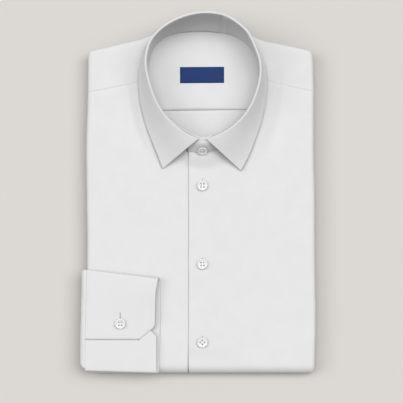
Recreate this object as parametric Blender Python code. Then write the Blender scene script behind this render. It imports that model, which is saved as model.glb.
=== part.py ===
"""A long-sleeved dress shirt, buttoned, folded flat and laid on its folded-under half.

The sides are folded in and the lower half is folded under, so the bundle is two legs, one
upon the other, joined by a round fold at the bottom edge. One cuff is brought round the
left side and laid on the front.

Frame: metres, +Z up, +Y towards the collar, +X to the right as seen from above. The origin
is under the middle of the folded shirt, on the surface that it lies on.
"""

from math import atan2, cos, floor, pi, sin, sqrt
from typing import NamedTuple

import bmesh
import bpy
from mathutils import Quaternion, Vector

# Cloth and seams
CLOTH = 0.0015
COLLAR_CLOTH = 0.0011
STAND_CLOTH = 0.0015
CUFF_CLOTH = 0.0017
SEAM_GAP = 0.0003

# Folded bundle
BUNDLE_HEIGHT = 0.0220
SIDE_RADIUS = 0.0045
SIDE_TUCK = 0.0060
LEG_DEPTH = 2 * SIDE_RADIUS
BOTTOM_EDGE_Y = -0.1998
BEND_RADIUS = BUNDLE_HEIGHT / 2
BEND_Y = BOTTOM_EDGE_Y + BEND_RADIUS
TAIL_SIDE_Y = 0.1470
TAIL_MIDDLE_Y = 0.1600
TAIL_BOW_LENGTH = 0.12

# Button placket
PLACKET_EDGE_X = -0.0105
PLACKET_WIDTH = 0.0255
LAP_LIFT = CLOTH + SEAM_GAP
LAP_FADE_END_X = 0.0600
LAP_SINK_START_Y = -0.1680
LAP_SINK_END_Y = -0.1870
LAP_STEP_WIDTH = 0.0022
LAP_STEP_CLEAR = 0.0010
LAP_RISE_WIDTH = 0.0040

# Buttons
BUTTON_DIAMETER = 0.0114
BUTTON_THICKNESS = 0.0027
BUTTON_BACK_BEVEL = (0.0026, 0.0011)
BUTTON_FACE_BEVEL = (0.0005, 0.0006)
BUTTON_RIM_WIDTH = 0.0014
BUTTON_RIM_FALL = 0.0001
BUTTON_DISH_SLOPE = 0.0006
BUTTON_DISH_DEPTH = 0.0007
BUTTON_HOLE_DIAMETER = 0.0020
BUTTON_HOLE_SPACING = 0.0031
FRONT_BUTTON_X = 0.0045
FRONT_BUTTON_TOP_Y = 0.0111
FRONT_BUTTON_PITCH = 0.0877
FRONT_BUTTON_TURNS = (0.0, 0.06, pi / 4)
CUFF_BUTTON_XY = (-0.0871, -0.1429)
CUFF_BUTTON_TURN = 0.05
COLLAR_BUTTON_SHARE = 0.38

# Neck
INNER_YOKE_TOP = BUNDLE_HEIGHT - CLOTH - SEAM_GAP
INNER_YOKE_CLOTH = 0.0018
BACK_PANEL_TOP = INNER_YOKE_TOP - 0.0006
INNER_SEAM_LEFT_Y = 0.0948
INNER_SEAM_RIGHT_Y = 0.0962
INNER_SEAM_STATIONS = (4.75, 19.83)
PLATE_CORNER_RISE = 0.0015
LABEL_SIZE = (0.0493, 0.0180, 0.0008)
LABEL_XY = (0.0041, 0.1351)
LABEL_TURN = 0.006

# Collar
STAND_BASE_Z = BUNDLE_HEIGHT + SEAM_GAP
NECK_EDGE_COVER = 0.0012
RIM_RADIUS = 0.0014
RIM_LEG = 0.0012
STAND_TOP_DROP = RIM_RADIUS + RIM_LEG + SEAM_GAP
STAND_LAP_LEFT_X = -0.0118
STAND_LAP_RIGHT_X = 0.0175
STAND_LAP_RISE_X = (-0.0220, -0.0140)
STAND_TUCK_STATIONS = (1.3, 4.0)
STAND_LAP_DROOP = 0.0022
STAND_LAP_DROOP_STATIONS = 2.0
STAND_FRONT_STATIONS = 4.0
NECK_FRONT_X = 0.0030
NECK_FRONT_Y = 0.0477
NECK_FRONT_CURVE = 9.3
NECK_RISE = 0.0060
RISE_SHARE_UNDER = 0.93
RISE_SHARE_OVER = 0.975
NECK_RISE_LENGTH = 0.0200
NECK_RISE_INSIDE = (-0.0300, -0.0100)
NECK_RISE_SIDE = (0.0060, 0.0500)
NECK_RISE_ROWS = (0.0022, 0.0044, 0.0066, 0.0088, 0.0110, 0.0135, 0.0160, 0.0195, 0.0350)
STAND_FRONT_MIDDLE = (0.62, 0.84)
STAND_SIDE_MIDDLE = (0.56, 0.44)

# Cuff and sleeve
CUFF_BASE_Z = BUNDLE_HEIGHT + SEAM_GAP
CUFF_HEIGHT_TOP = (0.0060, 0.0100)
CUFF_HEIGHT_LOW = (0.0060, 0.0070)
CUFF_FALL_Y = (-0.1480, -0.1000)
CUFF_LEFT_X = -0.1248
CUFF_WRIST_X = -0.0450
CUFF_LAP_STEP = CUFF_CLOTH + SEAM_GAP
CUFF_LEAN = 0.0018
CUFF_LEAN_Y = (-0.0850, -0.1750)
CUFF_TOP_Y = (-0.0826, -0.0917)
CUFF_BOTTOM_Y = (-0.1962, -0.1985)

FABRIC_WHITE = (0.80, 0.80, 0.80, 1.0)
BUTTON_WHITE = (0.82, 0.82, 0.81, 1.0)
LABEL_NAVY = (0.018, 0.055, 0.185, 1.0)


class SideRow(NamedTuple):
    """Outline of the folded sides at one height up the front."""

    y: float
    left: float
    right: float


SIDES = (
    SideRow(-0.2050, -0.1245, 0.1304),
    SideRow(-0.1900, -0.1247, 0.1306),
    SideRow(-0.1510, -0.1255, 0.1315),
    SideRow(-0.1280, -0.1255, 0.1317),
    SideRow(-0.1060, -0.1252, 0.1312),
    SideRow(-0.0500, -0.1247, 0.1306),
    SideRow(-0.0050, -0.1253, 0.1306),
    SideRow(0.0510, -0.1259, 0.1295),
    SideRow(0.1180, -0.1242, 0.1295),
    SideRow(0.1585, -0.1236, 0.1284),
    SideRow(0.1700, -0.1234, 0.1281),
)


class NeckRow(NamedTuple):
    """One station of the collar: foot of the stand, top of the fold, free edge of the leaf."""

    base_x: float
    base_y: float
    rim_x: float
    rim_y: float
    rim_z: float
    edge_x: float
    edge_y: float
    edge_z: float


# From the left front end of the leaf, round the back of the neck, to its right front end
NECK = (
    NeckRow(-0.0010, 0.0477, -0.0004, 0.0619, 0.0460, -0.0401, 0.0299, 0.0243),
    NeckRow(-0.0100, 0.0492, -0.0083, 0.0650, 0.0467, -0.0430, 0.0370, 0.0246),
    NeckRow(-0.0216, 0.0535, -0.0169, 0.0699, 0.0475, -0.0463, 0.0460, 0.0256),
    NeckRow(-0.0362, 0.0633, -0.0302, 0.0803, 0.0495, -0.0525, 0.0615, 0.0272),
    NeckRow(-0.0475, 0.0790, -0.0421, 0.0950, 0.0515, -0.0595, 0.0805, 0.0284),
    NeckRow(-0.0548, 0.1000, -0.0507, 0.1133, 0.0540, -0.0650, 0.1040, 0.0290),
    NeckRow(-0.0582, 0.1240, -0.0565, 0.1344, 0.0570, -0.0672, 0.1310, 0.0288),
    NeckRow(-0.0572, 0.1460, -0.0575, 0.1500, 0.0590, -0.0635, 0.1510, 0.0276),
    NeckRow(-0.0528, 0.1635, -0.0538, 0.1658, 0.0610, -0.0576, 0.1678, 0.0260),
    NeckRow(-0.0438, 0.1750, -0.0457, 0.1775, 0.0625, -0.0468, 0.1816, 0.0246),
    NeckRow(-0.0303, 0.1818, -0.0325, 0.1880, 0.0635, -0.0332, 0.1926, 0.0225),
    NeckRow(-0.0140, 0.1850, -0.0154, 0.1957, 0.0643, -0.0159, 0.1992, 0.0212),
    NeckRow(0.0042, 0.1860, 0.0027, 0.1994, 0.0645, 0.0028, 0.2024, 0.0210),
    NeckRow(0.0220, 0.1849, 0.0203, 0.1987, 0.0643, 0.0206, 0.2018, 0.0212),
    NeckRow(0.0360, 0.1824, 0.0335, 0.1944, 0.0640, 0.0341, 0.1980, 0.0218),
    NeckRow(0.0490, 0.1759, 0.0468, 0.1854, 0.0633, 0.0477, 0.1898, 0.0228),
    NeckRow(0.0595, 0.1665, 0.0561, 0.1749, 0.0623, 0.0576, 0.1792, 0.0246),
    NeckRow(0.0670, 0.1525, 0.0656, 0.1535, 0.0602, 0.0703, 0.1555, 0.0258),
    NeckRow(0.0693, 0.1340, 0.0682, 0.1395, 0.0580, 0.0756, 0.1405, 0.0276),
    NeckRow(0.0680, 0.1140, 0.0668, 0.1238, 0.0560, 0.0769, 0.1220, 0.0290),
    NeckRow(0.0628, 0.0925, 0.0604, 0.1041, 0.0530, 0.0745, 0.1005, 0.0292),
    NeckRow(0.0535, 0.0755, 0.0511, 0.0883, 0.0510, 0.0696, 0.0785, 0.0286),
    NeckRow(0.0413, 0.0614, 0.0392, 0.0764, 0.0490, 0.0630, 0.0600, 0.0274),
    NeckRow(0.0278, 0.0535, 0.0272, 0.0684, 0.0477, 0.0570, 0.0450, 0.0260),
    NeckRow(0.0170, 0.0495, 0.0151, 0.0633, 0.0466, 0.0516, 0.0338, 0.0250),
    NeckRow(0.0095, 0.0480, 0.0093, 0.0617, 0.0460, 0.0482, 0.0274, 0.0247),
)


class YokeRow(NamedTuple):
    """Outer edge of the yoke: station of the neck it faces, edge point, way out, tuck."""

    station: float
    edge_x: float
    edge_y: float
    out_x: float
    out_y: float
    tuck: float


YOKE = (
    YokeRow(6.15, -0.1242, 0.1154, -1.00, 0.00, 0.0060),
    YokeRow(6.45, -0.1240, 0.1280, -1.00, 0.00, 0.0060),
    YokeRow(6.80, -0.1239, 0.1420, -1.00, 0.03, 0.0060),
    YokeRow(7.10, -0.1237, 0.1530, -0.98, 0.15, 0.0045),
    YokeRow(7.25, -0.1230, 0.1588, -0.85, 0.50, 0.0025),
    YokeRow(7.40, -0.1205, 0.1621, -0.50, 0.85, 0.0025),
    YokeRow(7.60, -0.1140, 0.1638, -0.25, 0.97, 0.0045),
    YokeRow(7.85, -0.1020, 0.1666, -0.20, 0.98, 0.0060),
    YokeRow(8.15, -0.0840, 0.1710, -0.20, 0.98, 0.0060),
    YokeRow(8.60, -0.0640, 0.1757, -0.24, 0.97, 0.0060),
    YokeRow(9.40, -0.0430, 0.1838, -0.25, 0.97, 0.0060),
    YokeRow(10.60, -0.0190, 0.1896, -0.17, 0.98, 0.0060),
    YokeRow(12.00, 0.0050, 0.1920, 0.00, 1.00, 0.0060),
    YokeRow(13.30, 0.0290, 0.1900, 0.17, 0.98, 0.0060),
    YokeRow(14.70, 0.0510, 0.1838, 0.25, 0.97, 0.0060),
    YokeRow(15.70, 0.0710, 0.1745, 0.24, 0.97, 0.0060),
    YokeRow(16.25, 0.0900, 0.1705, 0.20, 0.98, 0.0060),
    YokeRow(16.60, 0.1080, 0.1666, 0.20, 0.98, 0.0060),
    YokeRow(16.85, 0.1190, 0.1640, 0.25, 0.97, 0.0045),
    YokeRow(17.05, 0.1254, 0.1620, 0.50, 0.85, 0.0025),
    YokeRow(17.20, 0.1278, 0.1585, 0.85, 0.50, 0.0025),
    YokeRow(17.35, 0.1286, 0.1528, 0.98, 0.15, 0.0045),
    YokeRow(17.65, 0.1290, 0.1420, 1.00, 0.03, 0.0060),
    YokeRow(17.95, 0.1294, 0.1285, 1.00, 0.00, 0.0060),
    YokeRow(18.25, 0.1295, 0.1160, 1.00, 0.00, 0.0060),
)


class LayerRow(NamedTuple):
    """One level of the hidden layers: how far its sides and top end stand in, and whether
    it lies between the two legs."""

    z: float
    side_in: float
    top_in: float
    middle: bool


LAYERS = (
    LayerRow(0.0037, 0.0060, 0.0180, False),
    LayerRow(0.0041, 0.0036, 0.0155, False),
    LayerRow(0.0052, 0.0026, 0.0150, False),
    LayerRow(0.0063, 0.0032, 0.0165, False),
    LayerRow(0.0071, 0.0050, 0.0180, False),
    LayerRow(0.0072, 0.0130, 0.0200, False),
    LayerRow(0.0092, 0.0145, 0.0140, False),
    LayerRow(0.0093, 0.0060, 0.0120, True),
    LayerRow(0.0099, 0.0046, 0.0090, True),
    LayerRow(0.0105, 0.0048, 0.0085, True),
    LayerRow(0.0108, 0.0066, 0.0110, True),
    LayerRow(0.0111, 0.0050, 0.0090, True),
    LayerRow(0.0119, 0.0042, 0.0075, True),
    LayerRow(0.0124, 0.0046, 0.0080, True),
    LayerRow(0.0127, 0.0062, 0.0100, True),
    LayerRow(0.0128, 0.0145, 0.0130, False),
    LayerRow(0.0147, 0.0130, 0.0130, False),
    LayerRow(0.0148, 0.0052, 0.0066, False),
    LayerRow(0.0156, 0.0032, 0.0040, False),
    LayerRow(0.0170, 0.0028, 0.0034, False),
    LayerRow(0.0178, 0.0034, 0.0042, False),
    LayerRow(0.0179, 0.0050, 0.1500, False),
    LayerRow(0.0200, 0.0060, 0.1520, False),
    LayerRow(0.0202, 0.0075, 0.1550, False),
)
LAYER_HALF_WIDTH = 0.128
LAYER_TOP_REACH = 0.190
LAYER_WAVE = 0.0006
LAYER_WAVE_STEPS = (2.1, 1.7)
OUTLINE_SIDE_STEPS = 8
OUTLINE_SIDE_PITCH = 0.0394
OUTLINE_CORNER_IN = 0.0040
OUTLINE_BOTTOM_X = (0.127, -0.121)
SLEEVE_ROOM = 0.0135
SLEEVE_ROOM_X = (-0.0900, -0.1200)
SLEEVE_ROOM_Y = (-0.0680, -0.0800)
PLATEAU_Z = 0.0179
PLATEAU_LOW_Y = -0.1630
MIDDLE_END_RISE = 0.0010


class CuffRow(NamedTuple):
    """One line along the cuff, counted round its section, and where its wrist end is."""

    layer: str
    y: float
    wrist_x: float


CUFF_LINES = (
    CuffRow("over", -0.1612, -0.0662),
    CuffRow("over", -0.1590, -0.0632),
    CuffRow("over", -0.1475, -0.0499),
    CuffRow("over", -0.1440, -0.0485),
    CuffRow("over", -0.1246, -0.0481),
    CuffRow("over", -0.1080, -0.0476),
    CuffRow("top fold", -0.0955, -0.0456),
    CuffRow("under", -0.1250, -0.0424),
    CuffRow("under", -0.1550, -0.0428),
    CuffRow("bottom fold", -0.1900, -0.0440),
    CuffRow("lap", -0.1750, -0.0468),
    CuffRow("lap", -0.1570, -0.0468),
    CuffRow("lap", -0.1510, -0.0530),
    CuffRow("lap", -0.1400, -0.0640),
    CuffRow("lap", -0.1320, -0.0650),
)


class SleeveRow(NamedTuple):
    """One station of the sleeve: middle of its thickness, heading in degrees, size."""

    x: float
    z: float
    heading: float
    thickness: float
    y_high: float
    y_low: float


SLEEVE = (
    SleeveRow(-0.1125, 0.0110, 180, 0.0028, -0.0880, -0.1880),
    SleeveRow(-0.1235, 0.0110, 180, 0.0028, -0.0865, -0.1895),
    SleeveRow(-0.1272, 0.0125, 135, 0.0032, -0.0855, -0.1875),
    SleeveRow(-0.1283, 0.0165, 92, 0.0042, -0.0845, -0.1885),
    SleeveRow(-0.1284, 0.0205, 85, 0.0048, -0.0835, -0.1895),
    SleeveRow(-0.1276, 0.0236, 50, 0.0056, -0.0828, -0.1912),
    SleeveRow(-0.1255, 0.0253, 0, 0.0060, -0.0826, -0.1935),
)


def smooth_step(value, start, end):
    """Rise from 0 at start to 1 at end, level at both."""
    share = min(max((value - start) / (end - start), 0.0), 1.0)
    return share * share * (3 - 2 * share)


def blend(a, b, share):
    return a + (b - a) * share


def curve_value(rows, position):
    """Catmull-Rom value of a list of Vectors at a position counted in rows."""
    index = min(max(floor(position), 0), len(rows) - 2)
    t = position - index
    before = rows[max(index - 1, 0)]
    start = rows[index]
    end = rows[index + 1]
    after = rows[min(index + 2, len(rows) - 1)]
    tangent_in = (end - before) / 2
    tangent_out = (after - start) / 2
    return (start * (2 * t ** 3 - 3 * t ** 2 + 1) + tangent_in * (t ** 3 - 2 * t ** 2 + t)
            + end * (3 * t ** 2 - 2 * t ** 3) + tangent_out * (t ** 3 - t ** 2))


def table_value(rows, key, column, value):
    """Smoothly interpolated column of a table whose key column rises."""
    for low, high in zip(rows, rows[1:]):
        if value <= getattr(high, key):
            break
    share = (value - getattr(low, key)) / (getattr(high, key) - getattr(low, key))
    return blend(getattr(low, column), getattr(high, column), smooth_step(share, 0.0, 1.0))


def side_x(side, y):
    return table_value(SIDES, "y", "left" if side < 0 else "right", y)


def lattice(columns, rows, place, closed=False):
    """Grid mesh with its corner (i, j) moved to place(i, j); closed joins its first and last column."""
    mesh = bmesh.new()
    bmesh.ops.create_grid(mesh, x_segments=columns, y_segments=rows, size=1.0)
    for vert in mesh.verts:
        i = round((vert.co.x + 1) / 2 * columns)
        j = round((vert.co.y + 1) / 2 * rows)
        vert.co = place(i % columns if closed else i, j)
    if closed:
        bmesh.ops.remove_doubles(mesh, verts=mesh.verts, dist=1e-6)
        ends = [edge for edge in mesh.edges if edge.is_boundary]
        bmesh.ops.holes_fill(mesh, edges=ends, sides=0)
        bmesh.ops.recalc_face_normals(mesh, faces=mesh.faces)
    return mesh


def material(name, colour, roughness):
    surface = bpy.data.materials.new(name)
    surface.use_nodes = True
    shader = surface.node_tree.nodes["Principled BSDF"]
    shader.inputs["Base Color"].default_value = colour
    shader.inputs["Roughness"].default_value = roughness
    shader.inputs["Metallic"].default_value = 0.0
    return surface


def add_object(name, mesh, surface, wall=None, turn_over=False):
    """Object of a bmesh; wall thickens an open sheet behind its faces, turned over if asked."""
    if turn_over:
        bmesh.ops.reverse_faces(mesh, faces=mesh.faces)
    data = bpy.data.meshes.new(name)
    mesh.to_mesh(data)
    mesh.free()
    data.materials.append(surface)
    data.shade_smooth()
    data.set_sharp_from_angle(angle=pi / 4)
    piece = bpy.data.objects.new(name, data)
    bpy.context.collection.objects.link(piece)
    if wall:
        thicken = piece.modifiers.new("Cloth", "SOLIDIFY")
        thicken.thickness = wall
        thicken.offset = -1.0
        thicken.use_even_offset = True
        thicken.use_quality_normals = True
    return piece


# Neck ring


def neck_points(column_x, column_y, column_z=None):
    return [Vector((getattr(row, column_x), getattr(row, column_y),
                    getattr(row, column_z) if column_z else 0.0)) for row in NECK]


BASE_POINTS = neck_points("base_x", "base_y")
RIM_POINTS = neck_points("rim_x", "rim_y", "rim_z")
EDGE_POINTS = neck_points("edge_x", "edge_y", "edge_z")
LAST_STATION = len(NECK) - 1


def ring_value(points, position):
    """Point of a ring; past the ends of the leaf it runs on across the front of the neck."""
    count = LAST_STATION + 1
    looped = points[-2:] + points + points[:2]
    return curve_value(looped, position % count + 2)


def outward(points, position):
    """Level unit vector away from the neck, square to a ring."""
    step = 0.05
    along = ring_value(points, position + step) - ring_value(points, position - step)
    return Vector((-along.y, along.x, 0.0)).normalized()


def ring_position(points, x, low, high):
    """Station between low and high where a ring has the given x."""
    rising = ring_value(points, high).x > ring_value(points, low).x
    for _ in range(40):
        middle = (low + high) / 2
        if (ring_value(points, middle).x < x) == rising:
            low = middle
        else:
            high = middle
    return (low + high) / 2


def neckline(position):
    """Cut edge of the fronts and the yoke, under the foot of the stand."""
    return ring_value(BASE_POINTS, position) - outward(BASE_POINTS, position) * NECK_EDGE_COVER


def seam_station(side):
    """Station where the front yoke seam meets the neck."""
    return (YOKE[0] if side < 0 else YOKE[-1]).station


def lap_weight(x):
    """How much of the lap's lift is left at x on the wearer's left front."""
    return 1 - smooth_step(x, PLACKET_EDGE_X + PLACKET_WIDTH, LAP_FADE_END_X)


def lap_lift(x):
    return LAP_LIFT * lap_weight(x) * smooth_step(x, PLACKET_EDGE_X - LAP_RISE_WIDTH, PLACKET_EDGE_X)


def neck_rise(x, y):
    """How far the stand holds the cloth up where it meets the front of the neck."""
    off = abs(x - NECK_FRONT_X)
    way = NECK_FRONT_Y + NECK_FRONT_CURVE * off ** 2 - y
    near = smooth_step(way, *NECK_RISE_INSIDE) * (1 - smooth_step(way, 0.0, NECK_RISE_LENGTH))
    return NECK_RISE * near * (1 - smooth_step(off, *NECK_RISE_SIDE))


# Fronts


def folded(run, depth):
    """y and z of cloth a given way down the outside (from y = 0) and a given depth inside it."""
    top_end = -BEND_Y
    bend_end = top_end + pi * BEND_RADIUS
    if run < top_end:
        return -run, BUNDLE_HEIGHT - depth
    if run < bend_end:
        angle = (run - top_end) / BEND_RADIUS
        radius = BEND_RADIUS - depth
        return BEND_Y - radius * sin(angle), BEND_RADIUS + radius * cos(angle)
    return BEND_Y + run - bend_end, depth


def side_profile(out):
    """Way in from the side's outermost line, and depth, a distance after the flat ends."""
    turn = pi * SIDE_RADIUS
    if out <= turn:
        angle = out / SIDE_RADIUS
        return SIDE_RADIUS * (1 - sin(angle)), SIDE_RADIUS * (1 - cos(angle))
    return SIDE_RADIUS + out - turn, LEG_DEPTH


FLAT_SHARES_LAP = (0.0, 0.03, 0.07, 0.11, 0.15, 0.19, 0.23, 0.27, 0.31, 0.36, 0.42,
                   0.50, 0.62, 0.80, 1.0)
FLAT_SHARES_UNDER = (0.0, 0.035, 0.07, 0.105, 0.14, 0.172, 0.186, 0.20, 0.214, 0.24, 0.27,
                     0.31, 0.35, 0.40, 0.46, 0.60, 0.80, 1.0)
TURN_STEPS = 6
NECK_STEPS = 15
NECK_ROWS_END_Y = -0.0100
SEAM_DROP = SEAM_GAP / 2


def front_rows(side, inner_x):
    """Run at the inner edge and at the side, and inner edge point, for each row of a front."""
    first = seam_station(side)
    if side > 0:
        centre = ring_position(BASE_POINTS, inner_x, LAST_STATION - 2, LAST_STATION + 3)
    else:
        centre = ring_position(BASE_POINTS, inner_x, -3, 2)
    rows = []
    side_top = (YOKE[0] if side < 0 else YOKE[-1]).edge_y - SEAM_GAP
    for step in range(NECK_STEPS + 1):
        share = step / NECK_STEPS
        point = neckline(blend(first, centre, share))
        if step == 0:
            point.y -= SEAM_DROP
        rows.append((Vector((point.x, point.y)), -blend(side_top, NECK_ROWS_END_Y, share)))
    top_end = -BEND_Y
    bend_end = top_end + pi * BEND_RADIUS
    tail = bend_end - BEND_Y
    runs = [0.035, 0.070, 0.105, 0.140, 0.165, 0.178, top_end]
    runs += [blend(top_end, bend_end, step / 8) for step in range(1, 9)]
    runs += [blend(bend_end, tail + TAIL_SIDE_Y, share) for share in (0.06, 0.2, 0.4, 0.6, 0.8, 1.0)]
    first_y = rows[-1][0].y
    for drop in NECK_RISE_ROWS:
        side_run = blend(-NECK_ROWS_END_Y, runs[0], drop / (first_y + runs[0]))
        rows.append((Vector((inner_x, first_y - drop)), side_run))
    rows += [(Vector((inner_x, min(-run, first_y))), run) for run in runs]
    return rows


def make_front(name, side, surface):
    lapping = side > 0
    inner_x = PLACKET_EDGE_X if lapping else PLACKET_EDGE_X + PLACKET_WIDTH
    shares = FLAT_SHARES_LAP if lapping else FLAT_SHARES_UNDER
    rows = front_rows(side, inner_x)
    turn = pi * SIDE_RADIUS
    outs = [turn * step / TURN_STEPS for step in range(1, TURN_STEPS + 1)] + [turn + SIDE_TUCK]
    tail_run = rows[-1][1]

    def place(i, j):
        inner, side_run = rows[j]
        edge_y, _ = folded(side_run, 0.0)
        edge_x = side_x(side, edge_y)
        if i < len(shares):
            share = shares[i]
            x = blend(inner.x, edge_x - side * SIDE_RADIUS, share)
            inner_run = side_run if side_run > -BEND_Y else -inner.y
            run = blend(inner_run, side_run, share)
            depth = 0.0
        else:
            inset, depth = side_profile(outs[i - len(shares)])
            x = edge_x - side * inset
            run = side_run
        if side_run > -BEND_Y + pi * BEND_RADIUS:
            bow = (TAIL_MIDDLE_Y - TAIL_SIDE_Y) * (1 - (x / edge_x) ** 2)
            run += bow * smooth_step(side_run, tail_run - TAIL_BOW_LENGTH, tail_run)
        y_outer, _ = folded(run, 0.0)
        sink = smooth_step(-y_outer, -LAP_SINK_START_Y, -LAP_SINK_END_Y) if run < -BEND_Y else 1.0
        if lapping:
            depth -= lap_lift(max(x, PLACKET_EDGE_X)) * (1 - sink)
        else:
            step_in = smooth_step(x, PLACKET_EDGE_X - LAP_STEP_WIDTH, PLACKET_EDGE_X - LAP_STEP_CLEAR)
            depth += LAP_LIFT * sink * step_in
        if run < -BEND_Y:
            depth -= neck_rise(x, y_outer) * (RISE_SHARE_OVER if lapping else RISE_SHARE_UNDER)
        y, z = folded(run, depth)
        return Vector((x, y, z))

    mesh = lattice(len(shares) + len(outs) - 1, len(rows) - 1, place)
    add_object(name, mesh, surface, wall=CLOTH, turn_over=lapping)


# Yoke


def make_yoke(surface):
    points = [Vector((row.edge_x, row.edge_y)) for row in YOKE]
    turn = pi * SIDE_RADIUS
    flats = (0.0, 0.25, 0.5, 0.75, 1.0)
    turns = [turn * step / TURN_STEPS for step in range(1, TURN_STEPS + 1)]

    def place(i, j):
        row = YOKE[i]
        neck = neckline(row.station)
        away = Vector((row.out_x, row.out_y)).normalized()
        if i in (0, len(YOKE) - 1):
            neck.y += SEAM_DROP
        flat_end = points[i] - away * SIDE_RADIUS
        if j < len(flats):
            spot = Vector((neck.x, neck.y)).lerp(flat_end, flats[j])
            return Vector((spot.x, spot.y, BUNDLE_HEIGHT))
        out = turns[j - len(flats)] if j < len(flats) + TURN_STEPS else turn + row.tuck
        inset, depth = side_profile(out)
        spot = points[i] - away * inset
        return Vector((spot.x, spot.y, BUNDLE_HEIGHT - depth))

    mesh = lattice(len(YOKE) - 1, len(flats) + TURN_STEPS, place)
    add_object("yoke", mesh, surface, wall=CLOTH)


# Plates seen down the neck


def neck_plate(name, top_z, cloth, stations, surface):
    """Flat cloth between the inner seam and the neck ring from one station to another."""
    columns = 18
    rows = 5
    left, right = stations
    left_x = ring_value(BASE_POINTS, left).x
    right_x = ring_value(BASE_POINTS, right).x
    above_seam = right > left
    way = 1 if above_seam else -1

    def place(i, j):
        station = blend(left, right, i / columns)
        ring = ring_value(BASE_POINTS, station)
        seam_y = blend(INNER_SEAM_LEFT_Y, INNER_SEAM_RIGHT_Y, i / columns) + way * SEAM_GAP / 2
        seam = Vector((blend(left_x, right_x, i / columns), seam_y, top_z))
        if i in (0, columns):
            return seam + Vector((0.0, way * PLATE_CORNER_RISE * j / rows, 0.0))
        return seam.lerp(Vector((ring.x, ring.y, top_z)), j / rows)

    mesh = lattice(columns, rows, place)
    add_object(name, mesh, surface, wall=cloth, turn_over=not above_seam)


def make_label(surface):
    width, height, thickness = LABEL_SIZE
    mesh = bmesh.new()
    bmesh.ops.create_cube(mesh, size=1.0)
    bmesh.ops.scale(mesh, vec=(width, height, thickness), verts=mesh.verts)
    label = add_object("neck_label", mesh, surface)
    label.location = (*LABEL_XY, INNER_YOKE_TOP + SEAM_GAP + thickness / 2)
    label.rotation_euler.z = LABEL_TURN


# Collar


def end_weight(position, reach):
    """1 at the leaf's front ends and between them, falling to 0 a number of stations in."""
    return 1 - smooth_step(min(position, LAST_STATION - position), 0.0, reach)


def stand_face(position):
    """Foot, middle and top of the stand's outer face at a station."""
    under = STAND_CLOTH + SEAM_GAP
    inset = under * (1 - smooth_step(position, *STAND_TUCK_STATIONS))
    foot_out = outward(BASE_POINTS, position)
    top_out = outward(RIM_POINTS, position)
    foot = ring_value(BASE_POINTS, position) - foot_out * inset
    foot.z = STAND_BASE_Z + LAP_LIFT * lap_weight(foot.x) * smooth_step(foot.x, *STAND_LAP_RISE_X)
    foot.z += neck_rise(foot.x, foot.y)
    rim = ring_value(RIM_POINTS, position)
    top = rim - top_out * (inset + RIM_RADIUS - COLLAR_CLOTH)
    lap_end = LAST_STATION + STAND_LAP_DROOP_STATIONS
    droop = STAND_LAP_DROOP * smooth_step(position, LAST_STATION, lap_end)
    top.z = rim.z - STAND_TOP_DROP - droop
    front = end_weight(position, STAND_FRONT_STATIONS)
    middle = foot.lerp(top, blend(STAND_SIDE_MIDDLE[0], STAND_FRONT_MIDDLE[0], front))
    middle.z = blend(foot.z, top.z, blend(STAND_SIDE_MIDDLE[1], STAND_FRONT_MIDDLE[1], front))
    return foot, middle, top, foot_out, top_out


def make_stand(surface):
    start = ring_position(BASE_POINTS, STAND_LAP_RIGHT_X, -3, 0)
    end = ring_position(BASE_POINTS, STAND_LAP_LEFT_X, LAST_STATION, LAST_STATION + 3)
    stations = 84

    def place(i, j):
        position = blend(start, end, j / stations)
        foot, middle, top, foot_out, top_out = stand_face(position)
        outer = (foot, middle, top)
        if i < 3:
            return outer[i]
        way_in = (top_out, (top_out + foot_out) / 2, foot_out)[i - 3]
        return outer[5 - i] - way_in * STAND_CLOTH

    mesh = lattice(6, stations, place, closed=True)
    add_object("collar_stand", mesh, surface)


LEAF_ARC = (-90, -60, -30, 0)
LEAF_TURN_SHARES = (0.35, 0.7, 1.0)
LEAF_FALL_SHARES = (0.15, 0.35, 0.6, 0.8, 1.0)
LEAF_END_STATIONS = 4.0
LEAF_LEAVE_END = 0.45
LEAF_ARRIVE_SIDE = 0.86
LEAF_ARRIVE_END = 0.70


def leaf_section(position):
    """Points of the leaf's outer face from its seam, over the fold, to its free edge."""
    rim = ring_value(RIM_POINTS, position)
    edge = curve_value(EDGE_POINTS, position)
    end = end_weight(position, LEAF_END_STATIONS)
    reach = Vector((edge.x - rim.x, edge.y - rim.y, 0.0))
    out = outward(RIM_POINTS, position).lerp(reach.normalized(), end).normalized()
    up = Vector((0, 0, 1))
    centre = rim - up * RIM_RADIUS
    drop = rim.z - edge.z
    slope = min(atan2(drop - RIM_RADIUS, max(reach.length - RIM_RADIUS, 0.0005)), 1.45)
    points = [centre - out * RIM_RADIUS - up * RIM_LEG]
    for degrees in LEAF_ARC:
        angle = degrees * pi / 180
        points.append(centre + out * RIM_RADIUS * sin(angle) + up * RIM_RADIUS * cos(angle))
    leave_slope = slope * blend(1.0, LEAF_LEAVE_END, end)
    for share in LEAF_TURN_SHARES:
        angle = leave_slope * share
        points.append(centre + out * RIM_RADIUS * sin(angle) + up * RIM_RADIUS * cos(angle))
    start = points[-1]
    chord = edge - start
    way = Vector((chord.x, chord.y, 0.0)).normalized()
    flare = slope * blend(LEAF_ARRIVE_SIDE, LEAF_ARRIVE_END, end)
    leave = (out * cos(leave_slope) - up * sin(leave_slope)) * chord.length / 3
    arrive = (way * cos(flare) - up * sin(flare)) * chord.length / 3
    for t in LEAF_FALL_SHARES:
        points.append(start * (1 - t) ** 3 + (start + leave) * 3 * t * (1 - t) ** 2
                      + (edge - arrive) * 3 * t ** 2 * (1 - t) + edge * t ** 3)
    return points


def make_leaf(surface):
    per_row = 2
    columns = LAST_STATION * per_row
    sections = [leaf_section(index / per_row) for index in range(columns + 1)]
    mesh = lattice(columns, len(sections[0]) - 1, lambda i, j: sections[i][j])
    add_object("collar_leaf", mesh, surface, wall=COLLAR_CLOTH)


# Cuff and sleeve


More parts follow.
